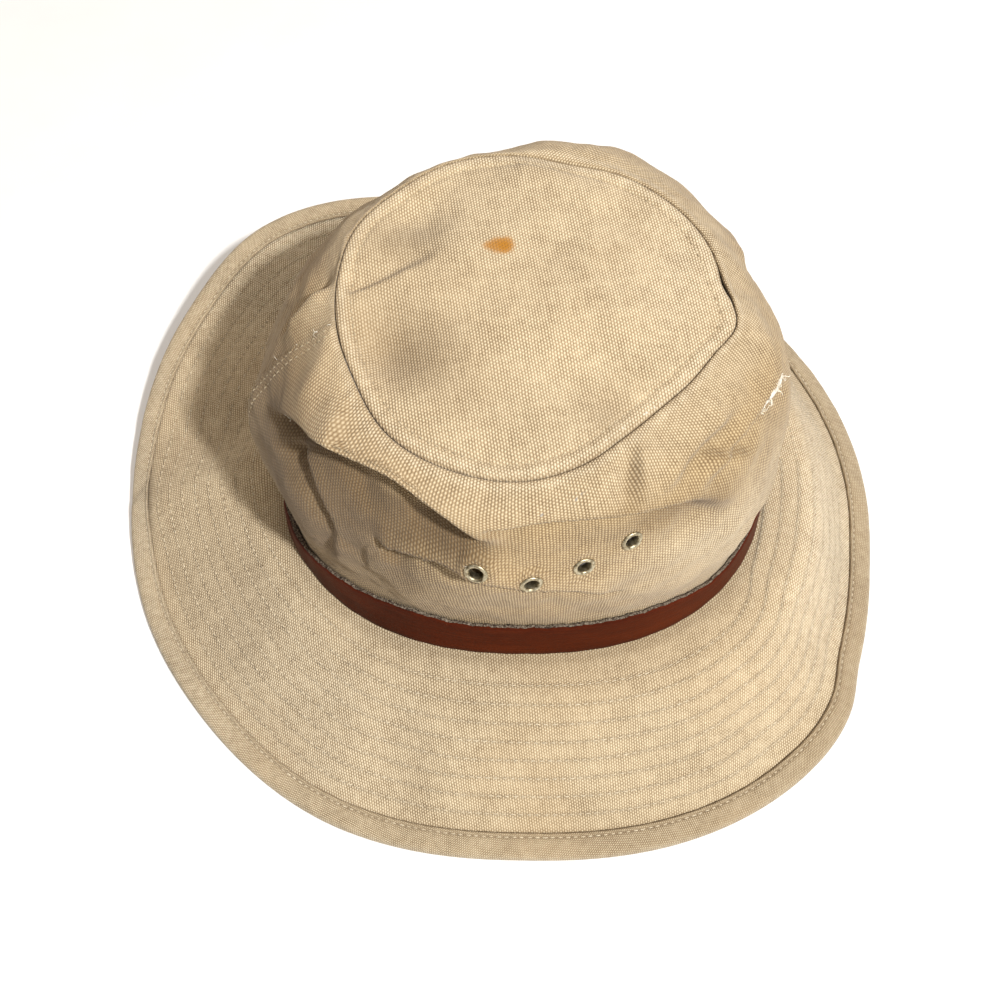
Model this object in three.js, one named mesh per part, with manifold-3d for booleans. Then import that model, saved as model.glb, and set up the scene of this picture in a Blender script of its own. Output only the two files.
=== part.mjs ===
// Sun hat of cotton canvas: a round tip, a one-piece side, a stitched brim with a taped rim,
// a leather hat band and two rows of metal vent eyelets.
// Millimetres. +X is the front of the hat, +Y the wearer's left, +Z up, and the hat rests on Z = 0.
import * as THREE from 'three';
import { mergeVertices } from 'three/addons/utils/BufferGeometryUtils.js';
import Module from 'manifold-3d';

const wasm = await Module();
wasm.setup();

// ---------------------------------------------------------------- driving dimensions
const GAP = 0.3;              // clearance between neighbouring pieces
const CANVAS = 1.4;           // one layer of heavy canvas, crown tip and side
const BRIM_CANVAS = 2.4;      // two layers of canvas quilted together
const TAPE = 1.0;             // canvas tape folded round the rim
const TAPE_WIDTH = 10;        // how far the tape reaches in from the rim
const LEATHER = 1.8;          // hat band
const BAND_HEIGHT = 18;

const HEAD = { length: 183, width: 163, power: 2.3 };        // outside of the crown's foot
const ROOT_HEIGHT = 33;       // top of the brim where the crown stands on it
const FOOT_LEAN = 0.1;        // the wall leans in by this much a millimetre behind the band
const FOOT = 20;              // height of that straight foot
const SIDE_HEIGHT = 118;      // canvas from the brim seam up to the tip seam

const TIP = { x: 1, y: -11, height: 107, rise: 0.09 };   // middle of the tip, over the head
const TIP_CROWN = 3.5;        // how far the middle of the tip stands above its seam

const EYELET = { flange: 3.6, washer: 3.2, hole: 2.2, barrel: 2.6, lip: 0.8, thick: 0.5 };
const EYELET_FACETS = 12;

const STEPS_ROUND = 64;       // steps round the hat, closer together on the slumped right side
const STEP_BIAS = 0.22;
const NEAR_SIDE = 270;        // angle of the wearer's right side

// ---------------------------------------------------------------- tables
// The tip is a flattened round with a corner at the front: how far its seam lies from its middle.
const SEAM_ROWS = [
  { angle: 0, reach: 61.8 }, { angle: 8, reach: 60 }, { angle: 25, reach: 60 },
  { angle: 45, reach: 59 }, { angle: 60, reach: 58 }, { angle: 77, reach: 56 },
  { angle: 95, reach: 58.5 }, { angle: 115, reach: 61 }, { angle: 135, reach: 61.5 },
  { angle: 153, reach: 63 }, { angle: 170, reach: 61.5 }, { angle: 190, reach: 60.3 },
  { angle: 207, reach: 60 }, { angle: 228, reach: 62.5 }, { angle: 248, reach: 62 },
  { angle: 266, reach: 60.8 }, { angle: 284, reach: 57 }, { angle: 299, reach: 53.3 },
  { angle: 315, reach: 52.3 }, { angle: 330, reach: 54.5 }, { angle: 342, reach: 57.5 },
  { angle: 352, reach: 62.3 },
];

// Shape of the side above its foot: how far the cloth swells out just above the band and how
// high that swell reaches, and how far the shoulder stands out from the tip seam and how deep.
const SIDE_ROWS = [
  { angle: 0, swell: 10, swell_up: 32, shoulder: 18, shoulder_down: 3 },
  { angle: 30, swell: 6, swell_up: 34, shoulder: 18, shoulder_down: 2 },
  { angle: 50, swell: 6, swell_up: 34, shoulder: 26, shoulder_down: 1 },
  { angle: 70, swell: 5, swell_up: 34, shoulder: 33, shoulder_down: -1 },
  { angle: 90, swell: 5, swell_up: 34, shoulder: 22, shoulder_down: 0 },
  { angle: 112, swell: 7, swell_up: 32, shoulder: 10, shoulder_down: 5 },
  { angle: 135, swell: 9, swell_up: 30, shoulder: 11, shoulder_down: 7 },
  { angle: 165, swell: 17, swell_up: 35, shoulder: 12, shoulder_down: 8 },
  { angle: 190, swell: 21, swell_up: 44, shoulder: 9, shoulder_down: 4 },
  { angle: 205, swell: 17, swell_up: 40, shoulder: 19, shoulder_down: 3 },
  { angle: 216, swell: 12, swell_up: 34, shoulder: 34, shoulder_down: -1 },
  { angle: 230, swell: 5, swell_up: 32, shoulder: 27, shoulder_down: 0 },
  { angle: 245, swell: 5, swell_up: 34, shoulder: 27, shoulder_down: -1 },
  { angle: 275, swell: 3, swell_up: 36, shoulder: 29, shoulder_down: -1 },
  { angle: 300, swell: 4, swell_up: 36, shoulder: 31, shoulder_down: -1 },
  { angle: 318, swell: 5, swell_up: 34, shoulder: 29, shoulder_down: 0 },
  { angle: 340, swell: 8, swell_up: 32, shoulder: 22, shoulder_down: 1 },
];

// Folds of the side. Each runs from one point to another, given as angle and height up the
// cloth, and bows sideways. Above its line the cloth swells out, and below it is drawn in. A
// level fold moves the cloth sideways instead of square to itself.
const FOLD_ROWS = [
  { name: 'under_shoulder_back', from: 196, low: 62, to: 268, high: 70, bow: 34,
    above: 2, below: 9, up: 13, down: 30, edge: 8, level: true },
  { name: 'lower_slump', from: 236, low: 79, to: 296, high: 27, bow: 4,
    above: 2.6, below: 3.8, up: 10, down: 13, edge: 5, level: true },
  { name: 'back_foot_crease', from: 206, low: 68, to: 221, high: 30, bow: 0,
    above: 1.5, below: 2, up: 8, down: 8, edge: 6, level: false },
  { name: 'under_shoulder_front', from: 252, low: 104, to: 328, high: 45, bow: 13,
    above: 2.6, below: 6, up: 9, down: 14, edge: 6, level: true },
  { name: 'front_diagonal', from: 309, low: 83, to: 350, high: 79, bow: 3,
    above: -2, below: -2, up: 8, down: 8, edge: 6, level: false },
  { name: 'back_dimple', from: 172, low: 116, to: 182, high: 78, bow: 0,
    above: 3, below: 3, up: 9, down: 9, edge: 6, level: false },
  { name: 'left_slump', from: 40, low: 62, to: 128, high: 58, bow: 6,
    above: 2.5, below: 3.5, up: 12, down: 14, edge: 5, level: false },
];

// Dents of the tip, in the hat's own X and Y from the middle of the panel.
const TIP_FOLD_ROWS = [
  { name: 'back_crease', x0: -59, y0: 2, x1: -22, y1: 22, bow: 0,
    above: -1, below: 2, up: 9, down: 9, edge: 6 },
  { name: 'back_hollow', x0: -60, y0: -4, x1: -18, y1: -38, bow: 0,
    above: -4.5, below: 1, up: 18, down: 8, edge: 7 },
  { name: 'front_hollow', x0: 14, y0: 44, x1: 52, y1: 4, bow: 4,
    above: -1.2, below: 1.2, up: 12, down: 12, edge: 7 },
];

// The brim, section by section round the hat: its width, where it bends and how wide the
// turned-out rim is, its slope at the crown and at the rim (degrees, down is positive), and the
// height of the rim's middle above the surface. What falls between is worked out to fit.
const BRIM_ROWS = [
  { angle: 0, width: 67, bend: 22, flare: 13, root: 3, rim: 7, height: 1.9 },
  { angle: 30, width: 66.5, bend: 20, flare: 12, root: 5, rim: 7, height: 1.9 },
  { angle: 60, width: 70, bend: 14, flare: 12, root: 8, rim: 7, height: 1.9 },
  { angle: 90, width: 73, bend: 14, flare: 14, root: 14, rim: 0, height: 12 },
  { angle: 115, width: 75, bend: 20, flare: 20, root: 14, rim: -12, height: 28 },
  { angle: 137, width: 78, bend: 22, flare: 22, root: 12, rim: -14, height: 37 },
  { angle: 152, width: 77, bend: 18, flare: 18, root: 14, rim: -4, height: 24 },
  { angle: 170, width: 77, bend: 12, flare: 12, root: 16, rim: 14, height: 9 },
  { angle: 190, width: 76.5, bend: 12, flare: 12, root: 12, rim: 7, height: 2.6 },
  { angle: 215, width: 72, bend: 14, flare: 12, root: 12, rim: 7, height: 1.9 },
  { angle: 240, width: 75, bend: 16, flare: 12, root: 10, rim: 7, height: 1.9 },
  { angle: 270, width: 75.5, bend: 18, flare: 12, root: 8, rim: 7, height: 1.9 },
  { angle: 300, width: 77, bend: 20, flare: 12, root: 6, rim: 7, height: 1.9 },
  { angle: 317, width: 76.5, bend: 22, flare: 13, root: 5, rim: 7, height: 1.9 },
  { angle: 324, width: 74, bend: 22, flare: 13, root: 5, rim: 7, height: 2.4 },
  { angle: 331, width: 69, bend: 22, flare: 13, root: 4, rim: 7, height: 2.6 },
  { angle: 345, width: 66.5, bend: 22, flare: 13, root: 3, rim: 7, height: 1.9 },
];

// Vent eyelets: a row of four on each side, given as angle and height up the cloth.
const EYELET_ROWS = [
  { name: 'eyelet_right_1', angle: 258.5, height: 74 },
  { name: 'eyelet_right_2', angle: 270, height: 65 },
  { name: 'eyelet_right_3', angle: 281.5, height: 64.5 },
  { name: 'eyelet_right_4', angle: 292.5, height: 69.5 },
  { name: 'eyelet_left_1', angle: 108, height: 70 },
  { name: 'eyelet_left_2', angle: 96, height: 70 },
  { name: 'eyelet_left_3', angle: 84, height: 70 },
  { name: 'eyelet_left_4', angle: 72, height: 70 },
];

// ---------------------------------------------------------------- small helpers
const radians = (degrees) => (degrees * Math.PI) / 180;
const mix = (a, b, t) => a + (b - a) * t;

function smooth(from, to, x) {
  const t = Math.min(1, Math.max(0, (x - from) / (to - from)));
  return t * t * (3 - 2 * t);
}

// Reads a column of a table that runs once round the hat, smoothly between its rows.
function around(rows, column, angle) {
  const a = ((angle % 360) + 360) % 360;
  const count = rows.length;
  const at = (i) => {
    const turns = Math.floor(i / count);
    return { angle: rows[i - turns * count].angle + 360 * turns, value: rows[i - turns * count][column] };
  };
  let i = 0;
  while (i + 1 < count && rows[i + 1].angle <= a) i += 1;
  const [before, left, right, after] = [at(i - 1), at(i), at(i + 1), at(i + 2)];
  const step = right.angle - left.angle;
  const t = (a - left.angle) / step;
  const leftSlope = ((right.value - before.value) / (right.angle - before.angle)) * step;
  const rightSlope = ((after.value - left.value) / (after.angle - left.angle)) * step;
  const t2 = t * t;
  const t3 = t2 * t;
  return (2 * t3 - 3 * t2 + 1) * left.value + (t3 - 2 * t2 + t) * leftSlope
    + (3 * t2 - 2 * t3) * right.value + (t3 - t2) * rightSlope;
}

// How far one fold pushes the cloth out at (u, v), in millimetres on the cloth.
function foldPush(row, u, v, from, to) {
  const run = { u: to.u - from.u, v: to.v - from.v };
  const length = Math.hypot(run.u, run.v);
  const along = ((u - from.u) * run.u + (v - from.v) * run.v) / (length * length);
  const across = ((v - from.v) * run.u - (u - from.u) * run.v) / length;
  const distance = across - row.bow * 4 * along * (1 - along);
  const fade = smooth(-0.05, 0.3, along) * smooth(-0.05, 0.3, 1 - along);
  const side = smooth(-row.edge, row.edge, distance);
  const swell = row.above * Math.exp(-((distance / row.up) ** 2)) * side;
  const draw = row.below * Math.exp(-((distance / row.down) ** 2)) * (1 - side);
  return fade * (swell - draw);
}

// ---------------------------------------------------------------- shape of the hat
// Outside of the crown's foot, as a rounded oval.
function headPoint(angle) {
  const c = Math.cos(radians(angle));
  const s = Math.sin(radians(angle));
  const x = Math.abs(c / (HEAD.length / 2)) ** HEAD.power;
  const y = Math.abs(s / (HEAD.width / 2)) ** HEAD.power;
  const radius = (x + y) ** (-1 / HEAD.power);
  return new THREE.Vector3(radius * c, radius * s, ROOT_HEIGHT);
}

// Level direction square to the foot, pointing away from the head.
function headOut(angle) {
  const run = headPoint(angle + 0.5).sub(headPoint(angle - 0.5));
  return new THREE.Vector3(run.y, -run.x, 0).normalize();
}

// Seam between the tip and the side.
function seamPoint(angle) {
  const radius = around(SEAM_ROWS, 'reach', angle);
  const x = TIP.x + radius * Math.cos(radians(angle));
  const y = TIP.y + radius * Math.sin(radians(angle));
  return new THREE.Vector3(x, y, seamHeight(y));
}

function seamHeight(y) {
  return ROOT_HEIGHT + TIP.height + TIP.rise * (y - TIP.y);
}

// Side of the crown before its folds, at a height up the cloth.
function plainSide(angle, height) {
  const foot = headPoint(angle);
  const out = headOut(angle);
  const rise = Math.min(height, FOOT);
  const start = foot.clone().addScaledVector(out, -FOOT_LEAN * rise);
  start.z += GAP + rise;
  if (height <= FOOT) return start;
  const seam = seamPoint(angle);
  const lean = new THREE.Vector3(Math.cos(radians(angle)), Math.sin(radians(angle)), 0);
  const low = start.clone().addScaledVector(out, around(SIDE_ROWS, 'swell', angle));
  low.z += around(SIDE_ROWS, 'swell_up', angle);
  const high = seam.clone().addScaledVector(lean, around(SIDE_ROWS, 'shoulder', angle));
  high.z -= around(SIDE_ROWS, 'shoulder_down', angle);
  const t = (height - FOOT) / (SIDE_HEIGHT - FOOT);
  return new THREE.CubicBezierCurve3(start, low, high, seam).getPoint(t);
}

function normalOf(surface, a, b, stepA, stepB) {
  const acrossA = surface(a + stepA, b).sub(surface(a - stepA, b));
  const acrossB = surface(a, b + stepB).sub(surface(a, b - stepB));
  return acrossA.cross(acrossB).normalize();
}

const FOLD_RADIUS = 84;       // turns an angle round the side into millimetres of cloth

// Outside of the side with its folds, which fade out behind the band and at the tip seam.
function side(angle, height) {
  let push = 0;
  let shove = 0;
  for (const row of FOLD_ROWS) {
    const middle = (row.from + row.to) / 2;
    const offset = ((angle - middle + 540) % 360) - 180;
    const from = { u: radians(row.from - middle) * FOLD_RADIUS, v: row.low };
    const to = { u: radians(row.to - middle) * FOLD_RADIUS, v: row.high };
    const size = foldPush(row, radians(offset) * FOLD_RADIUS, height, from, to);
    if (row.level) shove += size;
    else push += size;
  }
  const fade = smooth(FOOT - 2, FOOT + 10, height) * smooth(0, 12, SIDE_HEIGHT - height);
  const normal = normalOf(plainSide, angle, Math.min(height, SIDE_HEIGHT - 0.5), 0.5, 0.5);
  return plainSide(angle, height).addScaledVector(normal, fade * push)
    .addScaledVector(headOut(angle), fade * shove);
}

const sideNormal = (angle, height) => {
  const inside = Math.min(Math.max(height, 0.6), SIDE_HEIGHT - 0.6);
  return normalOf(side, angle, inside, 0.5, 0.5);
};

const sideInner = (angle, height) => side(angle, height).addScaledVector(sideNormal(angle, height), -CANVAS);

// Tip: share runs from 0 in the middle to 1 at its edge, just inside the side's top edge.
function tipEdge(angle) {
  const middle = new THREE.Vector2(TIP.x, TIP.y);
  const distance = (p) => new THREE.Vector2(p.x, p.y).distanceTo(middle);
  const reach = Math.min(distance(side(angle, SIDE_HEIGHT)), distance(sideInner(angle, SIDE_HEIGHT)));
  return reach - GAP;
}

function tipSurface(angle, share) {
  const radius = tipEdge(angle) * share;
  const u = radius * Math.cos(radians(angle));
  const v = radius * Math.sin(radians(angle));
  let lift = TIP_CROWN * (1 - share * share);
  for (const row of TIP_FOLD_ROWS) {
    const push = foldPush(row, u, v, { u: row.x0, v: row.y0 }, { u: row.x1, v: row.y1 });
    lift += push * smooth(0, 0.2, 1 - share);
  }
  return new THREE.Vector3(TIP.x + u, TIP.y + v, seamHeight(TIP.y + v) + lift);
}

const RIM_REST = 1.9;         // height of the rim's middle where the hat lies on the surface

// Brim: slope of the cloth at a distance from the crown, for a given fall in between.
const BEND_LENGTH = 16;       // length of cloth over which the slope changes
const BRIM_STEP = 2;          // step of the walk along the cloth

function brimSection(angle) {
  const row = {};
  for (const column of ['width', 'bend', 'flare', 'root', 'rim', 'height']) {
    row[column] = around(BRIM_ROWS, column, angle);
  }
  row.height = Math.max(row.height, RIM_REST);
  return row;
}

function brimSlope(row, fall, distance) {
  const bend = smooth(-BEND_LENGTH / 2, BEND_LENGTH / 2, distance - row.bend);
  const flare = smooth(-BEND_LENGTH / 2, BEND_LENGTH / 2, distance - (row.width - row.flare));
  const slope = mix(mix(row.root, fall, bend), row.rim, flare) * smooth(0, 5, distance);
  return radians(slope);
}

// Walks the section out from the crown and returns how far out and how high it gets.
function brimWalk(row, fall, distance) {
  const steps = Math.max(1, Math.ceil(Math.abs(distance) / BRIM_STEP));
  const step = distance / steps;
  let out = 0;
  let height = ROOT_HEIGHT - BRIM_CANVAS / 2;
  for (let i = 0; i < steps; i += 1) {
    const slope = brimSlope(row, fall, (i + 0.5) * step);
    out += step * Math.cos(slope);
    height -= step * Math.sin(slope);
  }
  return { out, height };
}

const sections = new Map();

// The fall between bend and flare that brings the rim to its height, found by halving.
function solvedSection(angle) {
  const key = angle.toFixed(4);
  if (!sections.has(key)) {
    const row = brimSection(angle);
    let low = -60;
    let high = 80;
    for (let i = 0; i < 24; i += 1) {
      const middle = (low + high) / 2;
      if (brimWalk(row, middle, row.width).height > row.height) low = middle;
      else high = middle;
    }
    sections.set(key, { row, fall: (low + high) / 2 });
  }
  return sections.get(key);
}

// A point of the brim, by its distance from the crown and how far above its middle layer.
// Distances past the rim carry straight on.
function brimPoint(angle, distance, above) {
  const { row, fall } = solvedSection(angle);
  const { out, height } = brimWalk(row, fall, distance);
  const slope = brimSlope(row, fall, distance);
  const point = headPoint(angle).addScaledVector(headOut(angle), out + above * Math.sin(slope));
  point.z = height + above * Math.cos(slope);
  return point;
}

// ---------------------------------------------------------------- building closed meshes
// Angles of the steps round the hat.
const ANGLES = Array.from({ length: STEPS_ROUND }, (_, i) => {
  const even = (360 * i) / STEPS_ROUND;
  const bias = (STEP_BIAS * 180) / Math.PI;
  return even - bias * Math.sin(radians(even - NEAR_SIDE));
});

// Closed ring: one section of points, in order, at each angle, joined to the next section.
function ringGeometry(section) {
  const sectionsOfPoints = ANGLES.map(section);
  const count = sectionsOfPoints[0].length;
  const positions = sectionsOfPoints.flat().flatMap((p) => [p.x, p.y, p.z]);
  const index = [];
  for (let i = 0; i < ANGLES.length; i += 1) {
    const here = i * count;
    const next = ((i + 1) % ANGLES.length) * count;
    for (let j = 0; j < count; j += 1) {
      const k = (j + 1) % count;
      index.push(here + j, next + j, next + k, here + j, next + k, here + k);
    }
  }
  return indexedGeometry(positions, index);
}

function indexedGeometry(positions, index) {
  const geometry = new THREE.BufferGeometry();
  geometry.setAttribute('position', new THREE.Float32BufferAttribute(positions, 3));
  geometry.setIndex(index);
  return outwardFacing(geometry);
}

// Turns every face round if the mesh is inside out.
function outwardFacing(geometry) {
  const p = geometry.getAttribute('position');
  const index = Array.from(geometry.getIndex().array);
  const corner = (i) => new THREE.Vector3().fromBufferAttribute(p, index[i]);
  let volume = 0;
  for (let i = 0; i < index.length; i += 3) {
    volume += corner(i).dot(corner(i + 1).cross(corner(i + 2)));
  }
  if (volume < 0) {
    for (let i = 0; i < index.length; i += 3) {
      [index[i + 1], index[i + 2]] = [index[i + 2], index[i + 1]];
    }
    geometry.setIndex(index);
  }
  geometry.computeVertexNormals();
  return geometry;
}

const evenSteps = (from, to, steps) => Array.from({ length: steps + 1 }, (_, i) => mix(from, to, i / steps));

function toSolid(geometry) {
  const bare = geometry.clone();
  bare.deleteAttribute('normal');
  bare.deleteAttribute('uv');
  const merged = mergeVertices(bare, 1e-4);
  return new wasm.Manifold(new wasm.Mesh({
    numProp: 3,
    vertProperties: Float32Array.from(merged.getAttribute('position').array),
    triVerts: Uint32Array.from(merged.getIndex().array),
  }));
}

function toGeometry(solid) {
  const mesh = solid.getMesh();
  return indexedGeometry(Array.from(mesh.vertProperties), Array.from(mesh.triVerts));
}

// ---------------------------------------------------------------- pieces
function crownSideGeometry() {
  const heights = [0, FOOT / 2, ...evenSteps(FOOT, SIDE_HEIGHT, 12)];
  const wall = ringGeometry((angle) => [
    ...heights.map((height) => side(angle, height)),
    ...[...heights].reverse().map((height) => sideInner(angle, height)),
  ]);
  let solid = toSolid(wall);
  for (const row of EYELET_ROWS) {
    for (const cutter of eyeletCutters()) {
      cutter.applyMatrix4(eyeletPlace(row));
      solid = solid.subtract(toSolid(cutter));
    }
  }
  return toGeometry(solid);
}

function crownTipGeometry() {
  const shares = [0.3, 0.6, 0.84, 1];
  const positions = [];
  const layer = (drop) => {
    const first = positions.length / 3;
    const centre = tipSurface(0, 0);
    positions.push(centre.x, centre.y, centre.z - drop);
    for (const share of shares) {
      for (const angle of ANGLES) {
        const p = tipSurface(angle, share);
        positions.push(p.x, p.y, p.z - drop);
      }
    }
    return first;
  };
  const top = layer(0);
  const under = layer(CANVAS);
  const index = [];
  const rim = (first, ring, i) => first + 1 + ring * ANGLES.length + (i % ANGLES.length);
  for (let i = 0; i < ANGLES.length; i += 1) {
    index.push(top, rim(top, 0, i), rim(top, 0, i + 1));
    index.push(under, rim(under, 0, i + 1), rim(under, 0, i));
    for (let ring = 0; ring + 1 < shares.length; ring += 1) {
      const [a, b] = [rim(top, ring, i), rim(top, ring, i + 1)];
      const [c, d] = [rim(top, ring + 1, i), rim(top, ring + 1, i + 1)];
      index.push(a, c, d, a, d, b);
      const [e, f] = [rim(under, ring, i), rim(under, ring, i + 1)];
      const [g, h] = [rim(under, ring + 1, i), rim(under, ring + 1, i + 1)];
      index.push(e, h, g, e, f, h);
    }
    const last = shares.length - 1;
    const [a, b] = [rim(top, last, i), rim(top, last, i + 1)];
    const [c, d] = [rim(under, last, i), rim(under, last, i + 1)];
    index.push(a, c, d, a, d, b);
  }
  return indexedGeometry(positions, index);
}

// Thickness left between the resting surface and the cloth, where the rim is pressed flat.
const PRESSED_TAPE = 0.6;
const PRESSED_BRIM = PRESSED_TAPE + GAP;

function pressedPoint(angle, distance, above, lowest) {
  const point = brimPoint(angle, distance, above);
  point.z = Math.max(point.z, lowest);
  return point;
}

function brimGeometry() {
  return ringGeometry((angle) => {
    const { width } = solvedSection(angle).row;
    const distances = [-CANVAS, ...evenSteps(6, width - TAPE_WIDTH, 5), width - TAPE - GAP];
    const half = BRIM_CANVAS / 2;
    return [
      ...distances.map((distance) => pressedPoint(angle, distance, half, PRESSED_BRIM)),
      ...[...distances].reverse().map((distance) => pressedPoint(angle, distance, -half, PRESSED_BRIM)),
    ];
  });
}

// Tape folded round the rim, flattened where it meets the surface the hat lies on.
function bindingGeometry() {
  const inside = BRIM_CANVAS / 2 + GAP;
  const outside = inside + TAPE;
  return ringGeometry((angle) => {
    const { width } = solvedSection(angle).row;
    const start = width - TAPE_WIDTH;
    const turn = width - TAPE;
    const outer = (distance, above) => pressedPoint(angle, distance, above, 0);
    const inner = (distance, above) => pressedPoint(angle, distance, above, PRESSED_TAPE);
    return [
      outer(start, outside), outer(turn - 1, outside), outer(width - 0.3, outside * 0.6),
      outer(width - 0.3, -outside * 0.6), outer(turn - 1, -outside), outer(turn - 3.5, -outside),
      outer(start, -outside),
      inner(start, -inside), inner(turn, -inside), inner(turn, inside), inner(start, inside),
    ];
  });
}

// Leather strap that stands on the brim and lies against the foot of the crown.
function bandGeometry() {
  return ringGeometry((angle) => {
    const out = headOut(angle);
    const at = (height, away) => plainSide(angle, height).addScaledVector(out, away);
    return [
      at(0, GAP), at(0, GAP + LEATHER), at(BAND_HEIGHT / 2, GAP + LEATHER),
      at(BAND_HEIGHT, GAP + LEATHER), at(BAND_HEIGHT, GAP), at(BAND_HEIGHT / 2, GAP),
    ];
  });
}

// Place of an eyelet: its axis stands square to the cloth, its seat on the cloth's outside.
function eyeletPlace(row) {
  const normal = sideNormal(row.angle, row.height);
  const turn = new THREE.Quaternion().setFromUnitVectors(new THREE.Vector3(0, 0, 1), normal);
  return new THREE.Matrix4().compose(side(row.angle, row.height), turn, new THREE.Vector3(1, 1, 1));
}

// The hole that an eyelet needs in the cloth, and the shallow seats of its flange and washer.
const SEAT_CUT = 3;
const SEAT_DEPTH = 0.15;
function eyeletCutters() {
  const cutter = (radius, from, to) => {
    const geometry = new THREE.CylinderGeometry(radius, radius, to - from, EYELET_FACETS);
    geometry.rotateX(Math.PI / 2);
    geometry.translate(0, 0, (from + to) / 2);
    return geometry;
  };
  return [
    cutter(EYELET.barrel + GAP, -SEAT_CUT, SEAT_CUT),
    cutter(EYELET.flange + GAP, -SEAT_DEPTH, SEAT_CUT),
    cutter(EYELET.washer + GAP, -SEAT_CUT, -CANVAS + SEAT_DEPTH),
  ];
}

// Turned metal ring: a rolled flange outside, a barrel through the cloth and a washer inside.
function eyeletGeometry() {
  const seat = GAP - SEAT_DEPTH;
  const back = SEAT_DEPTH - CANVAS - GAP;
  const profile = [
    [EYELET.hole, back - EYELET.thick], [EYELET.washer, back - EYELET.thick],
    [EYELET.washer, back], [EYELET.barrel, back], [EYELET.barrel, seat],
    [EYELET.flange, seat], [EYELET.flange, seat + EYELET.lip * 0.4],
    [(EYELET.flange + EYELET.hole) / 2 + 0.2, seat + EYELET.lip], [EYELET.hole, seat + EYELET.lip * 0.4],
  ];
  const points = [...profile, profile[0]].map(([radius, height]) => new THREE.Vector2(radius, height));
  const ring = new THREE.LatheGeometry(points, EYELET_FACETS);
  ring.rotateX(Math.PI / 2);
  return toGeometry(toSolid(ring));
}

// ---------------------------------------------------------------- assembly
const canvas = new THREE.MeshStandardMaterial({ color: 0xcdb183, roughness: 0.95, metalness: 0 });
const tape = new THREE.MeshStandardMaterial({ color: 0xc9aa7c, roughness: 0.95, metalness: 0 });
const leather = new THREE.MeshStandardMaterial({ color: 0x6a3322, roughness: 0.6, metalness: 0 });
const brass = new THREE.MeshStandardMaterial({ color: 0xb5b08c, roughness: 0.35, metalness: 1 });

function piece(name, geometry, material) {
  const mesh = new THREE.Mesh(geometry, material);
  mesh.name = name;
  return mesh;
}

const hat = new THREE.Group();
hat.add(piece('crown_tip', crownTipGeometry(), canvas));
hat.add(piece('crown_side', crownSideGeometry(), canvas));
hat.add(piece('brim', brimGeometry(), canvas));
hat.add(piece('brim_binding', bindingGeometry(), tape));
hat.add(piece('hat_band', bandGeometry(), leather));
for (const row of EYELET_ROWS) {
  const ring = piece(row.name, eyeletGeometry(), brass);
  ring.applyMatrix4(eyeletPlace(row));
  hat.add(ring);
}

// The origin is the middle of the hat's footprint.
const box = new THREE.Box3().setFromObject(hat);
const centre = box.getCenter(new THREE.Vector3());
hat.position.set(-centre.x, -centre.y, 0);

export default hat;
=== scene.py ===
# Looks of the sun hat: canvas tip and side, quilted brim with a taped rim, leather hat band,
# brass vent eyelets, stitching and frayed threads. Shapes are worked out in millimetres in the
# crown's own frame, then moved into the hat's frame and turned into metres.
import math
from collections import namedtuple

import bpy
import numpy as np
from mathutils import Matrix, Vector


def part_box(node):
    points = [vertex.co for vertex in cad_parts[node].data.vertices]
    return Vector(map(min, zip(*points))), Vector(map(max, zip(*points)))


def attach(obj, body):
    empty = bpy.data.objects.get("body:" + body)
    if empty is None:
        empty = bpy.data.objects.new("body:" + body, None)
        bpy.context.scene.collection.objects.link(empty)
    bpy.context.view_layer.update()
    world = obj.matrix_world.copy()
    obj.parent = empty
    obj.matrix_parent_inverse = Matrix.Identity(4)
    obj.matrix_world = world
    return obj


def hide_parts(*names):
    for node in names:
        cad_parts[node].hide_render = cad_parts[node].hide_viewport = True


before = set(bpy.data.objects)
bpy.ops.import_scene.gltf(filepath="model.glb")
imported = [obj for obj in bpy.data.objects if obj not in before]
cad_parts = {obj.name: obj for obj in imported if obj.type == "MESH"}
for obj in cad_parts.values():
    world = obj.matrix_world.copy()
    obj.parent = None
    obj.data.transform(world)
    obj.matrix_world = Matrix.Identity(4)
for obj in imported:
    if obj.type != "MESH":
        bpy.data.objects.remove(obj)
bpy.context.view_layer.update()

# ---- dimensions, millimetres
GAP = 0.3                 # clearance between neighbouring pieces
CANVAS = 1.4              # one layer of heavy canvas
BRIM_CANVAS = 2.4         # two layers quilted together
TAPE = 1.0                # tape folded round the rim
TAPE_WIDTH = 10.0
LEATHER = 1.8
BAND_HEIGHT = 18.0

HEAD_LENGTH, HEAD_WIDTH, HEAD_POWER = 183.0, 163.0, 2.3
ROOT_HEIGHT = 33.0        # of the crown's foot over the table
FOOT_LEAN = 0.1
FOOT = 20.0               # height of the crown's straight foot, which the band hides
SIDE_HEIGHT = 118.0       # length of cloth from the brim to the tip seam
FOLD_RADIUS = 84.0        # turns an angle round the side into millimetres of cloth

TIP_X, TIP_Y = 1.0, -11.0
TIP_HEIGHT, TIP_RISE, TIP_CROWN = 107.0, 0.09, 3.5

WARP_PITCH = 0.885        # strong yarns of the canvas
WEFT_PITCH = 0.566
ROW_PITCH = 6.6           # between the brim's stitch rows
ROWS = 8
STITCH, STITCH_PITCH = 2.0, 3.0
THREAD = 0.48             # thickness of the sewing thread
CLOSE_STITCHING = dict(long=1.9, pitch=2.7)   # of the seams and the tape

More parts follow.
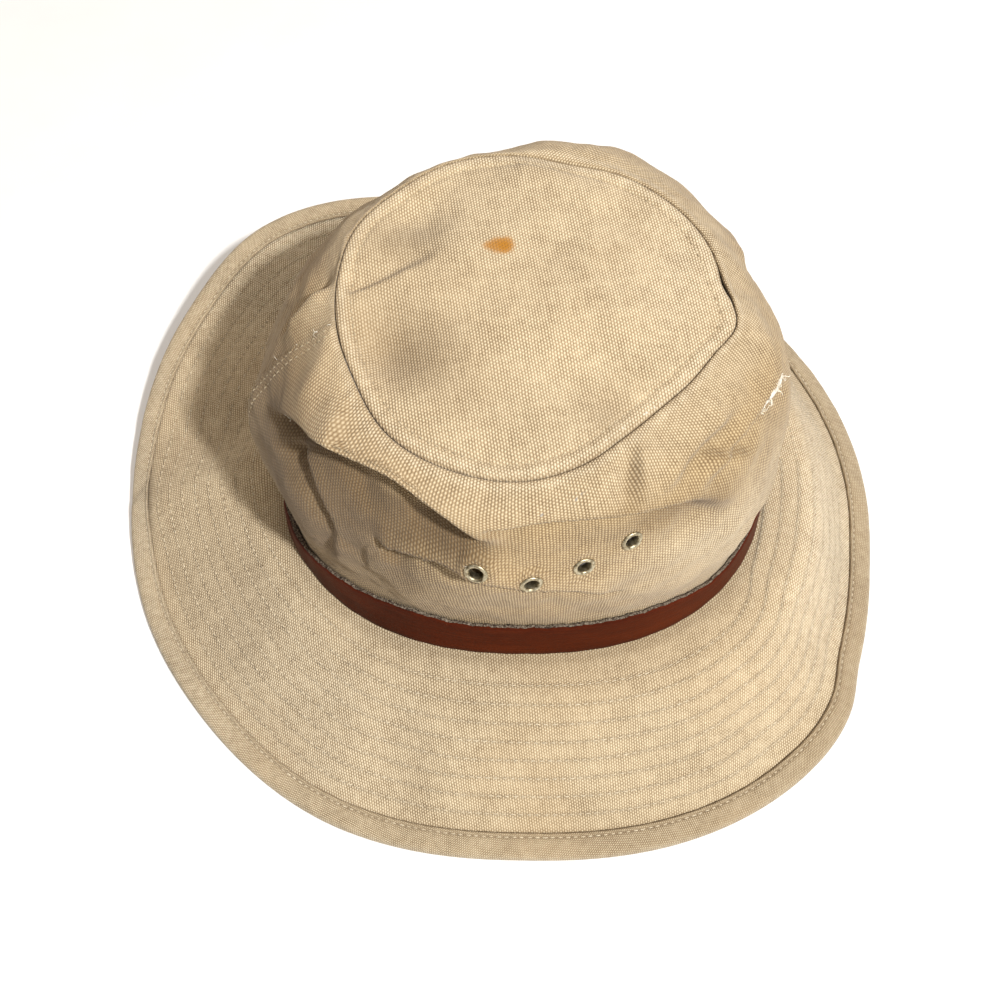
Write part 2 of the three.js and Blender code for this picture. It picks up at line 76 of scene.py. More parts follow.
BACK_SEAM = 188.0         # angle of the seam that closes the crown's side
BACK_ROWS = (2.2, 5.6)    # its two stitch rows, across from its edge
SLIT_ANGLE, SLIT_SPREAD = 6.0, 6.0   # where the tip seam has opened
TIP_ROW = 4.8             # topstitching of the tip, in from its seam
FABRIC_MIDDLE = 270.0     # angle at which the side's yarns stand upright
FABRIC_FAN = 0.22         # how much the yarns lean for each degree away from there
FABRIC_APEX = 395.0       # height on the cloth where its leaning yarns would meet
FABRIC_TURN = dict(side=3.0, tip=8.5, brim=6.5, tape=45)   # of the yarns, in degrees

HOLE = 2.9                # radius of an eyelet's hole in the cloth
AT_EYELETS = 0.98         # the crown's radius there, as a share of FOLD_RADIUS
HOLE_SINK = 0.26          # how far its edge is drawn in under the flange
TAPE_INSIDE = BRIM_CANVAS / 2 + GAP      # height of the tape's faces over the brim's middle layer
TAPE_OUTSIDE = TAPE_INSIDE + TAPE
TAPE_ROW = 8.3            # stitch row of the tape, in from the rim
TAPE_JOIN = 181.0         # angle at which the tape's two ends meet
PRESSED_TAPE = 0.6        # lowest heights of the pieces where the rim lies pressed on the table
PRESSED_BRIM = PRESSED_TAPE + GAP
BAND_LAP = 196.0          # angle at which the leather's ends overlap

# ---- tables
# angle: reach of the tip seam from the middle of the tip, with its corner at the front
SEAM_ROWS = [
    (0, 61.8), (8, 60), (25, 60), (45, 59), (60, 58), (77, 56), (95, 58.5), (115, 61), (135, 61.5),
    (153, 63), (170, 61.5), (190, 60.3), (207, 60), (228, 62.5), (248, 62), (266, 60.8), (284, 57),
    (299, 53.3), (315, 52.3), (330, 54.5), (342, 57.5), (352, 62.3),
]

# angle: swell, swell_up, shoulder, shoulder_down
SIDE_ROWS = [
    (0, 10, 32, 18, 3), (30, 6, 34, 18, 2), (50, 6, 34, 26, 1), (70, 5, 34, 33, -1),
    (90, 5, 34, 22, 0), (112, 7, 32, 10, 5), (135, 9, 30, 11, 7),
    (165, 17, 35, 12, 8), (190, 21, 44, 9, 4), (205, 14, 40, 19, 3), (216, 8, 34, 34, -1),
    (230, 3, 32, 27, 0), (245, 5, 34, 27, -1),
    (275, 3, 36, 29, -1), (300, 4, 36, 31, -1), (318, 5, 34, 29, 0), (340, 8, 32, 22, 1),
]

# angle: width, bend, flare, root slope, rim slope, rim height
BRIM_ROWS = [
    (0, 67, 22, 13, 3, 7, 1.9), (30, 66.5, 20, 12, 5, 7, 1.9), (60, 70, 14, 12, 8, 7, 1.9),
    (90, 73, 14, 14, 14, 0, 12), (115, 75, 20, 20, 14, -12, 28), (137, 78, 22, 22, 12, -14, 37),
    (152, 77, 18, 18, 14, -4, 24), (170, 77, 12, 12, 16, 14, 9), (190, 76.5, 12, 12, 12, 7, 2.6),
    (215, 72, 14, 12, 12, 7, 1.9), (240, 75, 16, 12, 10, 7, 1.9), (270, 75.5, 18, 12, 8, 7, 1.9),
    (300, 77, 20, 12, 6, 7, 1.9), (317, 76.5, 22, 13, 5, 7, 1.9), (324, 74, 22, 13, 5, 7, 2.4),
    (331, 69, 22, 13, 4, 7, 2.6), (345, 66.5, 22, 13, 3, 7, 1.9),
]
WIDTH, BEND, FLARE, ROOT_SLOPE, RIM_SLOPE, RIM_HEIGHT = 1, 2, 3, 4, 5, 6

# Folds of the cloth. line is where the fold runs. The cloth to its left stands out by above and the
# cloth to its right is drawn in by below, over the reaches up and down. edge is the width of the
# break between them and hang how far the upper cloth droops, both at the line's start and end.
# fade is the share of the line over which each end dies away. A level fold moves the cloth
# sideways instead of square to itself, and the last field strengthens the dirt and painted shade in its
# break.
Fold = namedtuple("Fold", "line above below up down edge hang fade level dirt", defaults=(0, 1.0))

# Folds of the side: the line is in angles and heights up the cloth.
FOLDS = [
    Fold([(196, 66), (203, 81), (210, 92), (217, 99.5), (227, 104.5), (238, 105.5), (249, 100),
          (258, 89), (265, 77)],
         3.0, 10.0, 16, 40, (2.8, 5.4), (2.2, 1.7), (0.16, 0.22), level=1),
    Fold([(191, 116), (194, 112), (199, 104.5), (204, 98), (210, 93)],
         1.6, -1.6, 6, 6, (3.0, 3.0), (0, 0), (0.15, 0.40)),
    Fold([(234, 64), (240, 66.5), (247, 69), (252, 70), (257, 69), (262, 66), (267, 61.5),
          (272, 58.5), (279, 54), (286, 47), (294, 38)],
         3.2, 5.4, 8, 12, (1.5, 1.3), (2.4, 1.8), (0.08, 0.25), level=1, dirt=2.6),
    Fold([(200, 60), (207, 70), (214, 73), (220, 67), (224.5, 56), (224, 40), (220, 26)],
         1.6, 1.8, 7, 8, (1.5, 1.7), (1.0, 1.0), (0.25, 0.25)),
    Fold([(257, 98.5), (266, 100), (273.5, 99), (284.5, 94.5), (296.5, 86.5), (308.5, 78), (322, 56)],
         0.2, 6.0, 16, 25, (2.2, 6.5), (1.8, 3.0), (0.10, 0.25), level=1, dirt=1.4),
    Fold([(303, 119), (298, 110), (294, 98), (293, 90)],
         1.5, 3.0, 8, 11, (3.4, 4.0), (0.8, 0.8), (0.05, 0.45)),
    Fold([(350, 79), (336, 85.5), (326, 86.5), (316, 85.5), (309, 83)],
         -2.0, -2.2, 8, 8, (3.0, 2.6), (0, 0), (0.25, 0.25)),
    Fold([(300, 92), (310, 97), (322, 98), (334, 96)],
         1.8, 2.0, 8, 8, (2.6, 2.6), (0.8, 0.8), (0.30, 0.35)),
    Fold([(312, 99), (318, 92), (325, 82), (331, 74)],
         -1.4, -1.6, 6, 6, (2.2, 2.2), (0, 0), (0.30, 0.30)),
    Fold([(211, 118), (213, 115), (219, 108), (224, 102)],
         -1.5, -1.5, 6, 6, (2.2, 2.2), (0, 0), (0.15, 0.35)),
    Fold([(236, 66), (241, 52), (246, 36)], -1.2, 1.6, 10, 10, (5.0, 5.0), (0, 0), (0.35, 0.35)),
    Fold([(172, 116), (175, 104), (179, 92), (182, 78)],
         3.2, 3.6, 9, 9, (3.4, 3.4), (0.8, 0.8), (0.30, 0.35)),
    Fold([(40, 62), (62, 66), (84, 68), (106, 64), (128, 58)],
         2.6, 3.6, 12, 14, (3.6, 3.6), (2.5, 2.5), (0.25, 0.25)),
    Fold([(12, 96), (26, 84), (40, 62)], 1.8, 2.0, 10, 10, (4.0, 4.0), (1.0, 1.0), (0.30, 0.30)),
    Fold([(128, 96), (140, 84), (150, 62), (156, 44)],
         2.2, 2.4, 10, 10, (3.6, 3.6), (1.5, 1.5), (0.30, 0.30)),
]

# Folds of the tip: the line is in X and Y from the middle of the panel.
TIP_FOLDS = [
    Fold([(-59, 3), (-46, 8), (-34, 14.5), (-24, 22)],
         -2.4, -0.4, 9, 7, (1.1, 3.0), (0, 0), (0.08, 0.50)),
    Fold([(-12, 54), (2, 48), (16, 41), (28, 31)], 1.7, -1.7, 7, 7, (2.8, 2.8), (0, 0), (0.25, 0.35)),
    Fold([(10, 46), (24, 34), (38, 20), (50, 4)],
         -1.0, 1.0, 12, 12, (7.0, 7.0), (0, 0), (0.35, 0.35)),
]

# Hollows of the tip: X and Y from its middle, depth, reach.
TIP_HOLLOWS = [(-46, -15, 6.0, 13.0), (-36, 32, 3.6, 9.0), (16, -30, 1.6, 15.0)]

# Soft radial bends of the brim: angle, reach round the hat (degrees), inner and outer end as a
# share of its width, and height.
BRIM_BENDS = [
    (183, 8.0, 0.05, 1.00, 5.0), (169, 6.0, 0.10, 0.90, -1.2), (312, 4.0, 0.15, 0.95, -1.3),
    (303, 6.0, 0.20, 0.90, 0.8), (236, 5.0, 0.25, 0.95, 0.8), (245, 5.0, 0.25, 0.95, -0.9),
    (255, 5.0, 0.30, 0.95, 0.7), (208, 7.0, 0.20, 0.90, -0.8), (345, 6.0, 0.25, 0.95, 0.6),
    (22, 7.0, 0.20, 0.90, -0.7), (60, 8.0, 0.20, 0.90, 0.8), (112, 7.0, 0.20, 0.90, -0.9),
]

EYELETS = {
    "eyelet_right_1": (258.5, 74), "eyelet_right_2": (270, 65), "eyelet_right_3": (281.5, 64.5),
    "eyelet_right_4": (292.5, 69.5), "eyelet_left_1": (108, 70), "eyelet_left_2": (96, 70),
    "eyelet_left_3": (84, 70), "eyelet_left_4": (72, 70),
}


# ---- small helpers
def smooth(start, end, x):
    t = np.clip((x - start) / (end - start), 0, 1)
    return t * t * (3 - 2 * t)


def unit(v):
    return v / np.maximum(np.linalg.norm(v, axis=-1, keepdims=True), 1e-9)


def compass(angle):
    return np.cos(np.radians(angle)), np.sin(np.radians(angle))


def spread(*values):
    return np.broadcast_arrays(*(np.asarray(value, float) for value in values))


def turn_from(angle, middle):
    """Signed angle from middle, between -180 and 180 degrees."""
    return (angle - middle + 540) % 360 - 180


def bump_at(x, middle, reach):
    return np.exp(-(((x - middle) / reach) ** 2))


def near_angle(angle, middle, reach):
    return bump_at(turn_from(angle, middle), 0, reach)


def blob(x, y, reach_x, reach_y):
    """Soft oval patch where x and y are nought."""
    return np.exp(-((x / reach_x) ** 2) - ((y / reach_y) ** 2))


def over_side(angle, middle):
    """Length of cloth round the crown's side from the angle middle."""
    return np.radians(turn_from(angle, middle)) * FOLD_RADIUS


def puckers(angle, count, sway, sways):
    """Uneven ripples along a seam, -1 to 1."""
    turn = np.radians(angle)
    return np.sin(turn * count + sway * np.sin(turn * sways))


def running_length(points):
    """Distance walked along rows of points, from 0 at the first."""
    steps = np.linalg.norm(np.diff(points, axis=0), axis=-1)
    return np.concatenate([0 * steps[:1], np.cumsum(steps, 0)])


def stronger(first, second):
    return np.where(np.abs(second) > np.abs(first), second, first)


def surface_frame(point_at, u, v, du, dv):
    """A point of a surface, its normal there, and the direction in which u grows."""
    run = point_at(u + du, v) - point_at(u - du, v)
    rise = point_at(u, v + dv) - point_at(u, v - dv)
    return point_at(u, v), unit(np.cross(run, rise)), unit(run)


def around(rows, column, angle):
    """Reads a column of a table that runs once round the hat, smoothly between its rows."""
    a = np.asarray(angle, float) % 360
    table = np.array(rows, float)
    angles = np.concatenate([table[:, 0] - 360, table[:, 0], table[:, 0] + 360])
    values = np.tile(table[:, column], 3)
    i = np.searchsorted(angles, a, side="right") - 1
    step = angles[i + 1] - angles[i]
    t = (a - angles[i]) / step
    left = (values[i + 1] - values[i - 1]) / (angles[i + 1] - angles[i - 1]) * step
    right = (values[i + 2] - values[i]) / (angles[i + 2] - angles[i]) * step
    return ((2 * t**3 - 3 * t**2 + 1) * values[i] + (t**3 - 2 * t**2 + t) * left
            + (3 * t**2 - 2 * t**3) * values[i + 1] + (t**3 - t**2) * right)


def make_waves(seed, count, shortest, longest):
    rng = np.random.default_rng(seed)
    direction = unit(rng.normal(size=(count, 3)))
    length = np.exp(rng.uniform(math.log(shortest), math.log(longest), count))
    phase = rng.uniform(0, 2 * math.pi, count)
    return direction * (2 * math.pi / length)[:, None], phase, length / longest


def wave_sum(points, waves):
    """Uneven ripples through space, about -1 to 1."""
    k, phase, share = waves
    total = np.zeros(points.shape[:-1])
    for ki, pi, si in zip(k, phase, share):
        total += si * np.sin(points @ ki + pi)
    return total / np.sqrt((share**2).sum() / 2) * 0.5


def curve_points(line, per_span=6):
    """Smooth open curve through the given points."""
    p = np.array(line, float)
    ends = np.vstack([2 * p[0] - p[1], p, 2 * p[-1] - p[-2]])
    out = []
    for i in range(len(p) - 1):
        a, b, c, d = ends[i:i + 4]
        for t in np.arange(per_span) / per_span:
            out.append(0.5 * (2 * b + (c - a) * t + (2 * a - 5 * b + 4 * c - d) * t**2
                              + (3 * b - a - 3 * c + d) * t**3))
    out.append(p[-1])
    return np.array(out)


def distance_to(line, u, v):
    """Signed distance to a curve, positive on its left, and how far along it that is."""
    starts, runs = line[:-1], np.diff(line, axis=0)
    lengths = np.hypot(runs[:, 0], runs[:, 1])
    before = np.concatenate([[0], np.cumsum(lengths)])
    best = np.full(u.shape, 1e9)
    signed, along = np.zeros(u.shape), np.zeros(u.shape)
    for start, run, length, done in zip(starts, runs, lengths, before):
        du, dv = u - start[0], v - start[1]
        raw = (du * run[0] + dv * run[1]) / length**2
        t = np.clip(raw, 0, 1)
        off = np.hypot(du - t * run[0], dv - t * run[1])
        side = np.sign(run[0] * dv - run[1] * du)
        near = off < best
        best = np.where(near, off, best)
        signed = np.where(near, side * off, signed)
        along = np.where(near, (done + t * length) / before[-1], along)
    return signed, along


def fold_effect(fold, line, u, v):
    """How far a fold pushes the cloth out, how far it lets it hang, and how much dirt and painted shade its
    break gets.
    """
    d, along = distance_to(line, u, v)
    fade = smooth(0, fold.fade[0], along) * smooth(0, fold.fade[1], 1 - along)
    edge, hang = (start + (end - start) * along for start, end in (fold.edge, fold.hang))
    side = smooth(-1, 1, d / edge)
    swell = bump_at(d, 0, fold.up) * side
    draw = bump_at(d, 0, fold.down) * (1 - side)
    crease = bump_at(d, 0, edge) * fade * np.sign(fold.above + fold.below) * fold.dirt
    return fade * (fold.above * swell - fold.below * draw), fade * hang * swell, crease


# ---- crown
def head_point(angle):
    c, s = compass(angle)
    across = np.abs(c / (HEAD_LENGTH / 2)) ** HEAD_POWER + np.abs(s / (HEAD_WIDTH / 2)) ** HEAD_POWER
    radius = across ** (-1 / HEAD_POWER)
    return np.stack([radius * c, radius * s, np.full_like(radius, ROOT_HEIGHT)], -1)


def head_out(angle):
    run = head_point(angle + 0.5) - head_point(angle - 0.5)
    return unit(np.stack([run[..., 1], -run[..., 0], np.zeros_like(run[..., 0])], -1))


def seam_height(y):
    return ROOT_HEIGHT + TIP_HEIGHT + TIP_RISE * (y - TIP_Y)


def seam_point(angle):
    c, s = compass(angle)
    radius = around(SEAM_ROWS, 1, angle)
    y = TIP_Y + radius * s
    return np.stack([TIP_X + radius * c, y, seam_height(y)], -1)


UP = np.array([0.0, 0.0, 1.0])


def plain_side(angle, height):
    angle, height = spread(angle, height)
    out = head_out(angle)
    rise = np.minimum(height, FOOT)[..., None]
    start = head_point(angle) - out * FOOT_LEAN * rise + UP * (GAP + rise)
    seam = seam_point(angle)
    lean = np.stack([*compass(angle), 0 * angle], -1)
    swell, swell_up, shoulder, shoulder_down = (around(SIDE_ROWS, column, angle)[..., None]
                                                for column in range(1, 5))
    low = start + out * swell + UP * swell_up
    high = seam + lean * shoulder - UP * shoulder_down
    t = np.clip((height - FOOT) / (SIDE_HEIGHT - FOOT), 0, 1)[..., None]
    curve = (1 - t) ** 3 * start + 3 * (1 - t) ** 2 * t * low
    curve = curve + 3 * (1 - t) * t * t * high + t**3 * seam
    return np.where((height <= FOOT)[..., None], start, curve)


CRUMPLE = make_waves(11, 22, 13, 46)
CRINKLE = make_waves(12, 26, 4.5, 12)
FOLD_LINES = []
for fold in FOLDS:
    points = np.array(fold.line, float)
    middle = points[:, 0].mean()
    flat = np.stack([over_side(points[:, 0], middle), points[:, 1]], -1)
    FOLD_LINES.append((middle, curve_points(flat)))


def seam_relief(distance):
    """Cross-section of the cloth beside the tip seam: a ditch, then a soft welt."""
    return -0.50 * bump_at(distance, 0, 0.45) + 0.16 * bump_at(distance, 2.4, 1.9)


def back_lap(angle, height):
    """The side's back seam: one edge lies over the other, and is stitched down."""
    across = over_side(angle, BACK_SEAM)
    across = across + 0.5 * np.sin(height / 5.3) + 0.35 * np.sin(height / 2.1 + 1)
    step = smooth(-0.5, 0.5, across) * (1 - smooth(6, 14, across))
    rows = sum(bump_at(across, row, 0.7) for row in BACK_ROWS)
    return 0.9 * step - 0.3 * rows


def folded_side(angle, height):
    """Outside of the crown's side, with its folds, crumples and seams, and its break lines."""
    angle, height = spread(angle, height)
    push, shove, slide, breaks = (np.zeros(angle.shape) for _ in range(4))
    for fold, (middle, line) in zip(FOLDS, FOLD_LINES):
        p, s, b = fold_effect(fold, line, over_side(angle, middle), height)
        push, shove, slide = push + p * (1 - fold.level), shove + p * fold.level, slide + s
        breaks = stronger(breaks, b)
    inside = np.minimum(height, SIDE_HEIGHT - 0.5)
    base = plain_side(angle, height)
    round_run = plain_side(angle + 0.5, inside) - plain_side(angle - 0.5, inside)
    up_run = plain_side(angle, inside + 0.5) - plain_side(angle, inside - 0.5)
    normal, up = unit(np.cross(round_run, up_run)), unit(up_run)
    below_seam = SIDE_HEIGHT - height
    fade = smooth(FOOT - 2, FOOT + 10, height) * smooth(0, 12, below_seam)
    soft = smooth(FOOT - 3, FOOT + 6, height) * smooth(0, 5, below_seam)
    push = push * fade + soft * (0.95 * wave_sum(base, CRUMPLE) + 0.22 * wave_sum(base, CRINKLE))
    pucker = puckers(angle, 58, 2.0, 7) * bump_at(below_seam, 3.0, 2.8) * smooth(0, 1, below_seam)
    push = push + 0.10 * pucker + back_lap(angle, height) * soft
    moved = base + normal * push[..., None] + head_out(angle) * (shove * fade)[..., None]
    moved = moved + UP * seam_relief(below_seam)[..., None]
    return moved - up * (slide * fade)[..., None], breaks * fade


def side_frame(angle, height, reach=3.0):
    """Point, outward normal and the two level directions of the side, averaged over reach."""
    turn = math.degrees(reach / FOLD_RADIUS)
    centre, normal, run = surface_frame(lambda a, h: folded_side(a, h)[0], angle, height, turn, reach)
    return centre, normal, run, np.cross(normal, run)


SEATS = {name: side_frame(np.float64(a), np.float64(h)) for name, (a, h) in EYELETS.items()}


def from_eyelet(angle, height, name):
    """Lengths of cloth from the middle of an eyelet, round the hat and up."""
    at_angle, at_height = EYELETS[name]
    return over_side(angle, at_angle) * AT_EYELETS, height - at_height


def crown_side(angle, height):
    """The side with the cloth lying flat round each eyelet."""
    point, breaks = folded_side(angle, height)
    angle, height = spread(angle, height)
    for name, (centre, normal, run, rise) in SEATS.items():
        u, v = from_eyelet(angle, height, name)
        weight = (1 - smooth(4.4, 6.4, np.hypot(u, v)))[..., None]
        dip = -0.2 * (1 - smooth(3.0, 5.2, np.hypot(u, v)))[..., None]
        flat = centre + run * u[..., None] + rise * v[..., None] + normal * dip
        point = point * (1 - weight) + flat * weight
    return point, breaks


# ---- tip
TIP_LINES = [curve_points(fold.line) for fold in TIP_FOLDS]


def slit(angle):
    """How far the seam gapes beside the front point, 0 to 1."""
    return near_angle(angle, SLIT_ANGLE, SLIT_SPREAD)


def tip_radius(angle):
    seam = seam_point(angle)
    return np.hypot(seam[..., 0] - TIP_X, seam[..., 1] - TIP_Y) - GAP - 0.5 * slit(angle)


def tip_point(angle, inward):
    """Outside of the tip panel, at a distance in from its edge."""
    radius = np.maximum(tip_radius(angle) - inward, 0)
    share = radius / tip_radius(angle)
    u, v = (radius * part for part in compass(angle))
    lift = TIP_CROWN * (1 - share * share)
    breaks = np.zeros(u.shape)
    for fold, line in zip(TIP_FOLDS, TIP_LINES):
        p, _, b = fold_effect(fold, line, u, v)
        lift = lift + p * smooth(0, 0.12, 1 - share)
        breaks = stronger(breaks, b)
    for x, y, depth, reach in TIP_HOLLOWS:
        lift = lift - depth * blob(u - x, v - y, reach, reach) * smooth(0, 0.16, 1 - share)
    point = np.stack([TIP_X + u, TIP_Y + v, seam_height(TIP_Y + v)], -1)
    soft = smooth(0, 6, inward)
    lift = lift + soft * (0.55 * wave_sum(point, CRUMPLE) + 0.12 * wave_sum(point, CRINKLE))
    lift = lift + 0.10 * puckers(angle, 62, 1.5, 9) * bump_at(inward, 3.2, 3.0) + seam_relief(inward)
    lift = lift - 0.34 * bump_at(inward, TIP_ROW, 0.9) - 0.7 * slit(angle) * np.exp(-inward)
    return point + UP * lift[..., None], breaks


# ---- brim
BEND_LENGTH = 16.0        # over which the brim's slope changes
RIM_REST = 1.9            # height of the rim's middle layer where it rests on the table


def brim_slope(section, fall, distance):
    bend = smooth(-BEND_LENGTH / 2, BEND_LENGTH / 2, distance - section[BEND])
    flare = smooth(-BEND_LENGTH / 2, BEND_LENGTH / 2, distance - (section[WIDTH] - section[FLARE]))
    slope = section[ROOT_SLOPE] + (fall - section[ROOT_SLOPE]) * bend
    slope = slope + (section[RIM_SLOPE] - slope) * flare
    return np.radians(slope * smooth(0, 5, distance))


def brim_walk(section, fall, distance, steps=40):
    out = 0 * distance
    height = 0 * distance + ROOT_HEIGHT - BRIM_CANVAS / 2
    for i in range(steps):
        slope = brim_slope(section, fall, (i + 0.5) / steps * distance)
        out = out + distance / steps * np.cos(slope)
        height = height - distance / steps * np.sin(slope)
    return out, height


def brim_section(angle):
    section = [None] + [around(BRIM_ROWS, column, angle) for column in range(1, 7)]
    section[RIM_HEIGHT] = np.maximum(section[RIM_HEIGHT], RIM_REST)
    return section


def solve_falls():
    """The fall between bend and flare that brings the rim to its height, round the hat."""
    angle = np.arange(0, 360, 0.5)
    section = brim_section(angle)
    low, high = np.full(angle.shape, -60.0), np.full(angle.shape, 80.0)
    for _ in range(24):
        middle = (low + high) / 2
        above = brim_walk(section, middle, section[WIDTH])[1] > section[RIM_HEIGHT]
        low, high = np.where(above, middle, low), np.where(above, high, middle)
    return angle, (low + high) / 2


FALL_ANGLES, FALLS = solve_falls()
BRIM_CRUMPLE = make_waves(21, 22, 12, 60)


def brim_point(angle, distance, above):
    """A point of the brim by its distance from the crown and height over its middle layer."""
    angle, distance, above = spread(angle, distance, above)
    section = brim_section(angle)
    fall = np.interp(angle % 360, FALL_ANGLES, FALLS, period=360)
    out, height = brim_walk(section, fall, distance)
    slope = brim_slope(section, fall, distance)
    flat = head_point(angle) + head_out(angle) * out[..., None]
    flat[..., 2] = height
    share = distance / section[WIDTH]
    lift = 0.35 * wave_sum(flat, BRIM_CRUMPLE)
    for middle, reach, inner, outer, size in BRIM_BENDS:
        run = smooth(inner - 0.1, inner + 0.25, share) * (1 - smooth(outer - 0.25, outer + 0.1, share))
        lift = lift + size * near_angle(angle, middle, reach) * run
    lift = lift * smooth(2, 14, distance) * (1 - smooth(-14, -2, distance - section[WIDTH]))
    over = above + lift
    point = flat + head_out(angle) * (over * np.sin(slope))[..., None]
    point[..., 2] = height + over * np.cos(slope)
    return point


def brim_width(angle):
    return around(BRIM_ROWS, WIDTH, angle)


def quilting(inward):
    """Relief of the stitched layers at a distance in from the tape: a groove at each row."""
    row = np.clip(np.round(inward / ROW_PITCH), 1, ROWS)
    away = np.abs(inward - row * ROW_PITCH)
    puff = -0.06 * np.cos(math.pi * np.clip(away / (ROW_PITCH / 2), 0, 1))
    return puff * smooth(0.5, 3, inward) - 0.12 * bump_at(away, 0, 0.6)


# ---- meshes
band_low, band_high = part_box("hat_band")
# from the crown's own frame to the hat's, metres
SHIFT = np.array([(band_low.x + band_high.x) / 2, (band_low.y + band_high.y) / 2, 0.0])


def add_object(name, data):
    obj = bpy.data.objects.new(name, data)
    bpy.context.scene.collection.objects.link(obj)
    return obj


def make_mesh(name, points, faces, material, maps=(), values=()):
    """Mesh object from millimetre points. maps are (name, uv per face corner), values are
    (name, number per point)."""
    mesh = bpy.data.meshes.new(name)
    mesh.from_pydata((points * 0.001 + SHIFT).tolist(), [], faces)
    mesh.update()
    for label, corner_uv in maps:
        layer = mesh.uv_layers.new(name=label)
        layer.data.foreach_set("uv", np.asarray(corner_uv, np.float32).ravel())
    for label, numbers in values:
        attribute = mesh.attributes.new(label, "FLOAT", "POINT")
        attribute.data.foreach_set("value", np.asarray(numbers, np.float32).ravel())
    mesh.polygons.foreach_set("use_smooth", np.ones(len(mesh.polygons), bool))
    mesh.materials.append(material)
    return add_object(name, mesh)


def ring_faces(columns, count):
    """Quads of a closed ring of closed sections, and the same for a map with one more column."""
    i, j = np.meshgrid(np.arange(columns), np.arange(count), indexing="ij")
    i, j = i.ravel(), j.ravel()
    ni, nj = (i + 1) % columns, (j + 1) % count
    faces = np.stack([i * count + j, ni * count + j, ni * count + nj, i * count + nj], -1)
    mapped = np.stack([i * count + j, (i + 1) * count + j, (i + 1) * count + nj, i * count + nj], -1)
    return faces, mapped


def make_ring(name, points, maps, values, material):
    """Mesh from closed sections round the hat. The last section is the first one again, and only
    gives the maps their far edge."""
    faces, mapped = ring_faces(len(points) - 1, points.shape[1])
    maps = [(label, uv.reshape(-1, 2)[mapped].reshape(-1, 2)) for label, uv in maps]
    values = [(label, value[:-1].reshape(-1)) for label, value in values]
    return make_mesh(name, points[:-1].reshape(-1, 3), faces.tolist(), material, maps, values)


def two_layers(first, second):
    """Closed section: out along the first layer and back along the second."""
    return np.concatenate([first, second[:, ::-1]], 1)


def biased_angles(columns, bias, near=270.0, start=0.0):
    """Steps round the hat, closer together on the slumped right side."""
    even = start + 360 * np.arange(columns + 1) / columns
    pull = np.sin(np.radians(even - near)) - math.sin(math.radians(start - near))
    return even - math.degrees(bias) * pull


def fabric_map(u, v, turn):
    """Lengths on the cloth, in metres, turned to the direction of its yarns."""
    c, s = math.cos(math.radians(turn)), math.sin(math.radians(turn))
    return np.stack([(u * c + v * s) * 0.001, (v * c - u * s) * 0.001], -1)


def offset_inwards(outer, thickness):
    """Second layer of a grid that closes on itself in its first direction."""
    run = np.roll(outer, -1, 0) - np.roll(outer, 1, 0)
    normal = unit(np.cross(run, np.gradient(outer, axis=1)))
    for _ in range(3):
        padded = np.concatenate([normal[:, :1], normal, normal[:, -1:]], 1)
        normal = unit(np.roll(normal, 1, 0) + np.roll(normal, -1, 0) + 2 * normal
                      + padded[:, 2:] + padded[:, :-2])
    return outer - normal * thickness


side_angles = biased_angles(400, 0.36, start=BACK_SEAM)
side_heights = np.concatenate([
    [0, 10, 16], np.linspace(18, 110, 92), np.linspace(110.8, SIDE_HEIGHT, 16)])
brim_angles = biased_angles(480, 0.3)


# ---- crown side
def cut_holes(angle, height, outer, inner):
    """Rounds both layers off at each eyelet, and returns which quads its hole takes away."""
    gone = np.zeros(angle.shape, bool)
    middle_angle = (side_angles[:-1] + side_angles[1:])[:, None] / 2
    middle_height = (side_heights[:-1] + side_heights[1:]) / 2
    for name, (centre, axis, _, _) in SEATS.items():
        inside = np.hypot(*from_eyelet(middle_angle, middle_height, name)) < HOLE
        gone[:, :-1] |= inside
        corners = np.pad(inside, ((0, 0), (0, 1)))
        corners |= np.roll(corners, 1, 0)
        corners |= np.roll(corners, 1, 1)
        edge = corners & (np.hypot(*from_eyelet(angle, height, name)) > HOLE * 0.55)
        for layer, depth in ((outer, -HOLE_SINK), (inner, -CANVAS - 0.2)):
            from_middle = layer[edge] - centre
            across = from_middle - np.outer(from_middle @ axis, axis)
            layer[edge] = centre + unit(across) * HOLE + axis * depth
    return gone


# Sides of a quad: the neighbour beyond it, and the side's two corners.
QUAD_SIDES = [((-1, 0), (0, 0), (0, 1)), ((1, 0), (1, 1), (1, 0)),
              ((0, -1), (1, 0), (0, 0)), ((0, 1), (0, 1), (1, 1))]


def hole_walls(gone):
    """Quads through the cloth round each hole."""
    columns, rows = gone.shape
    count = 2 * rows

    def ids(i, j):
        start = (i % columns) * count
        return start + j, start + count - 1 - j

    walls = []
    for i, j in zip(*np.nonzero(gone)):
        for (di, dj), p, q in QUAD_SIDES:
            if not gone[(i + di) % columns, j + dj]:
                (p_out, p_in), (q_out, q_in) = ids(i + p[0], j + p[1]), ids(i + q[0], j + q[1])
                walls.append((p_out, q_out, q_in, p_in))
    return np.array(walls)


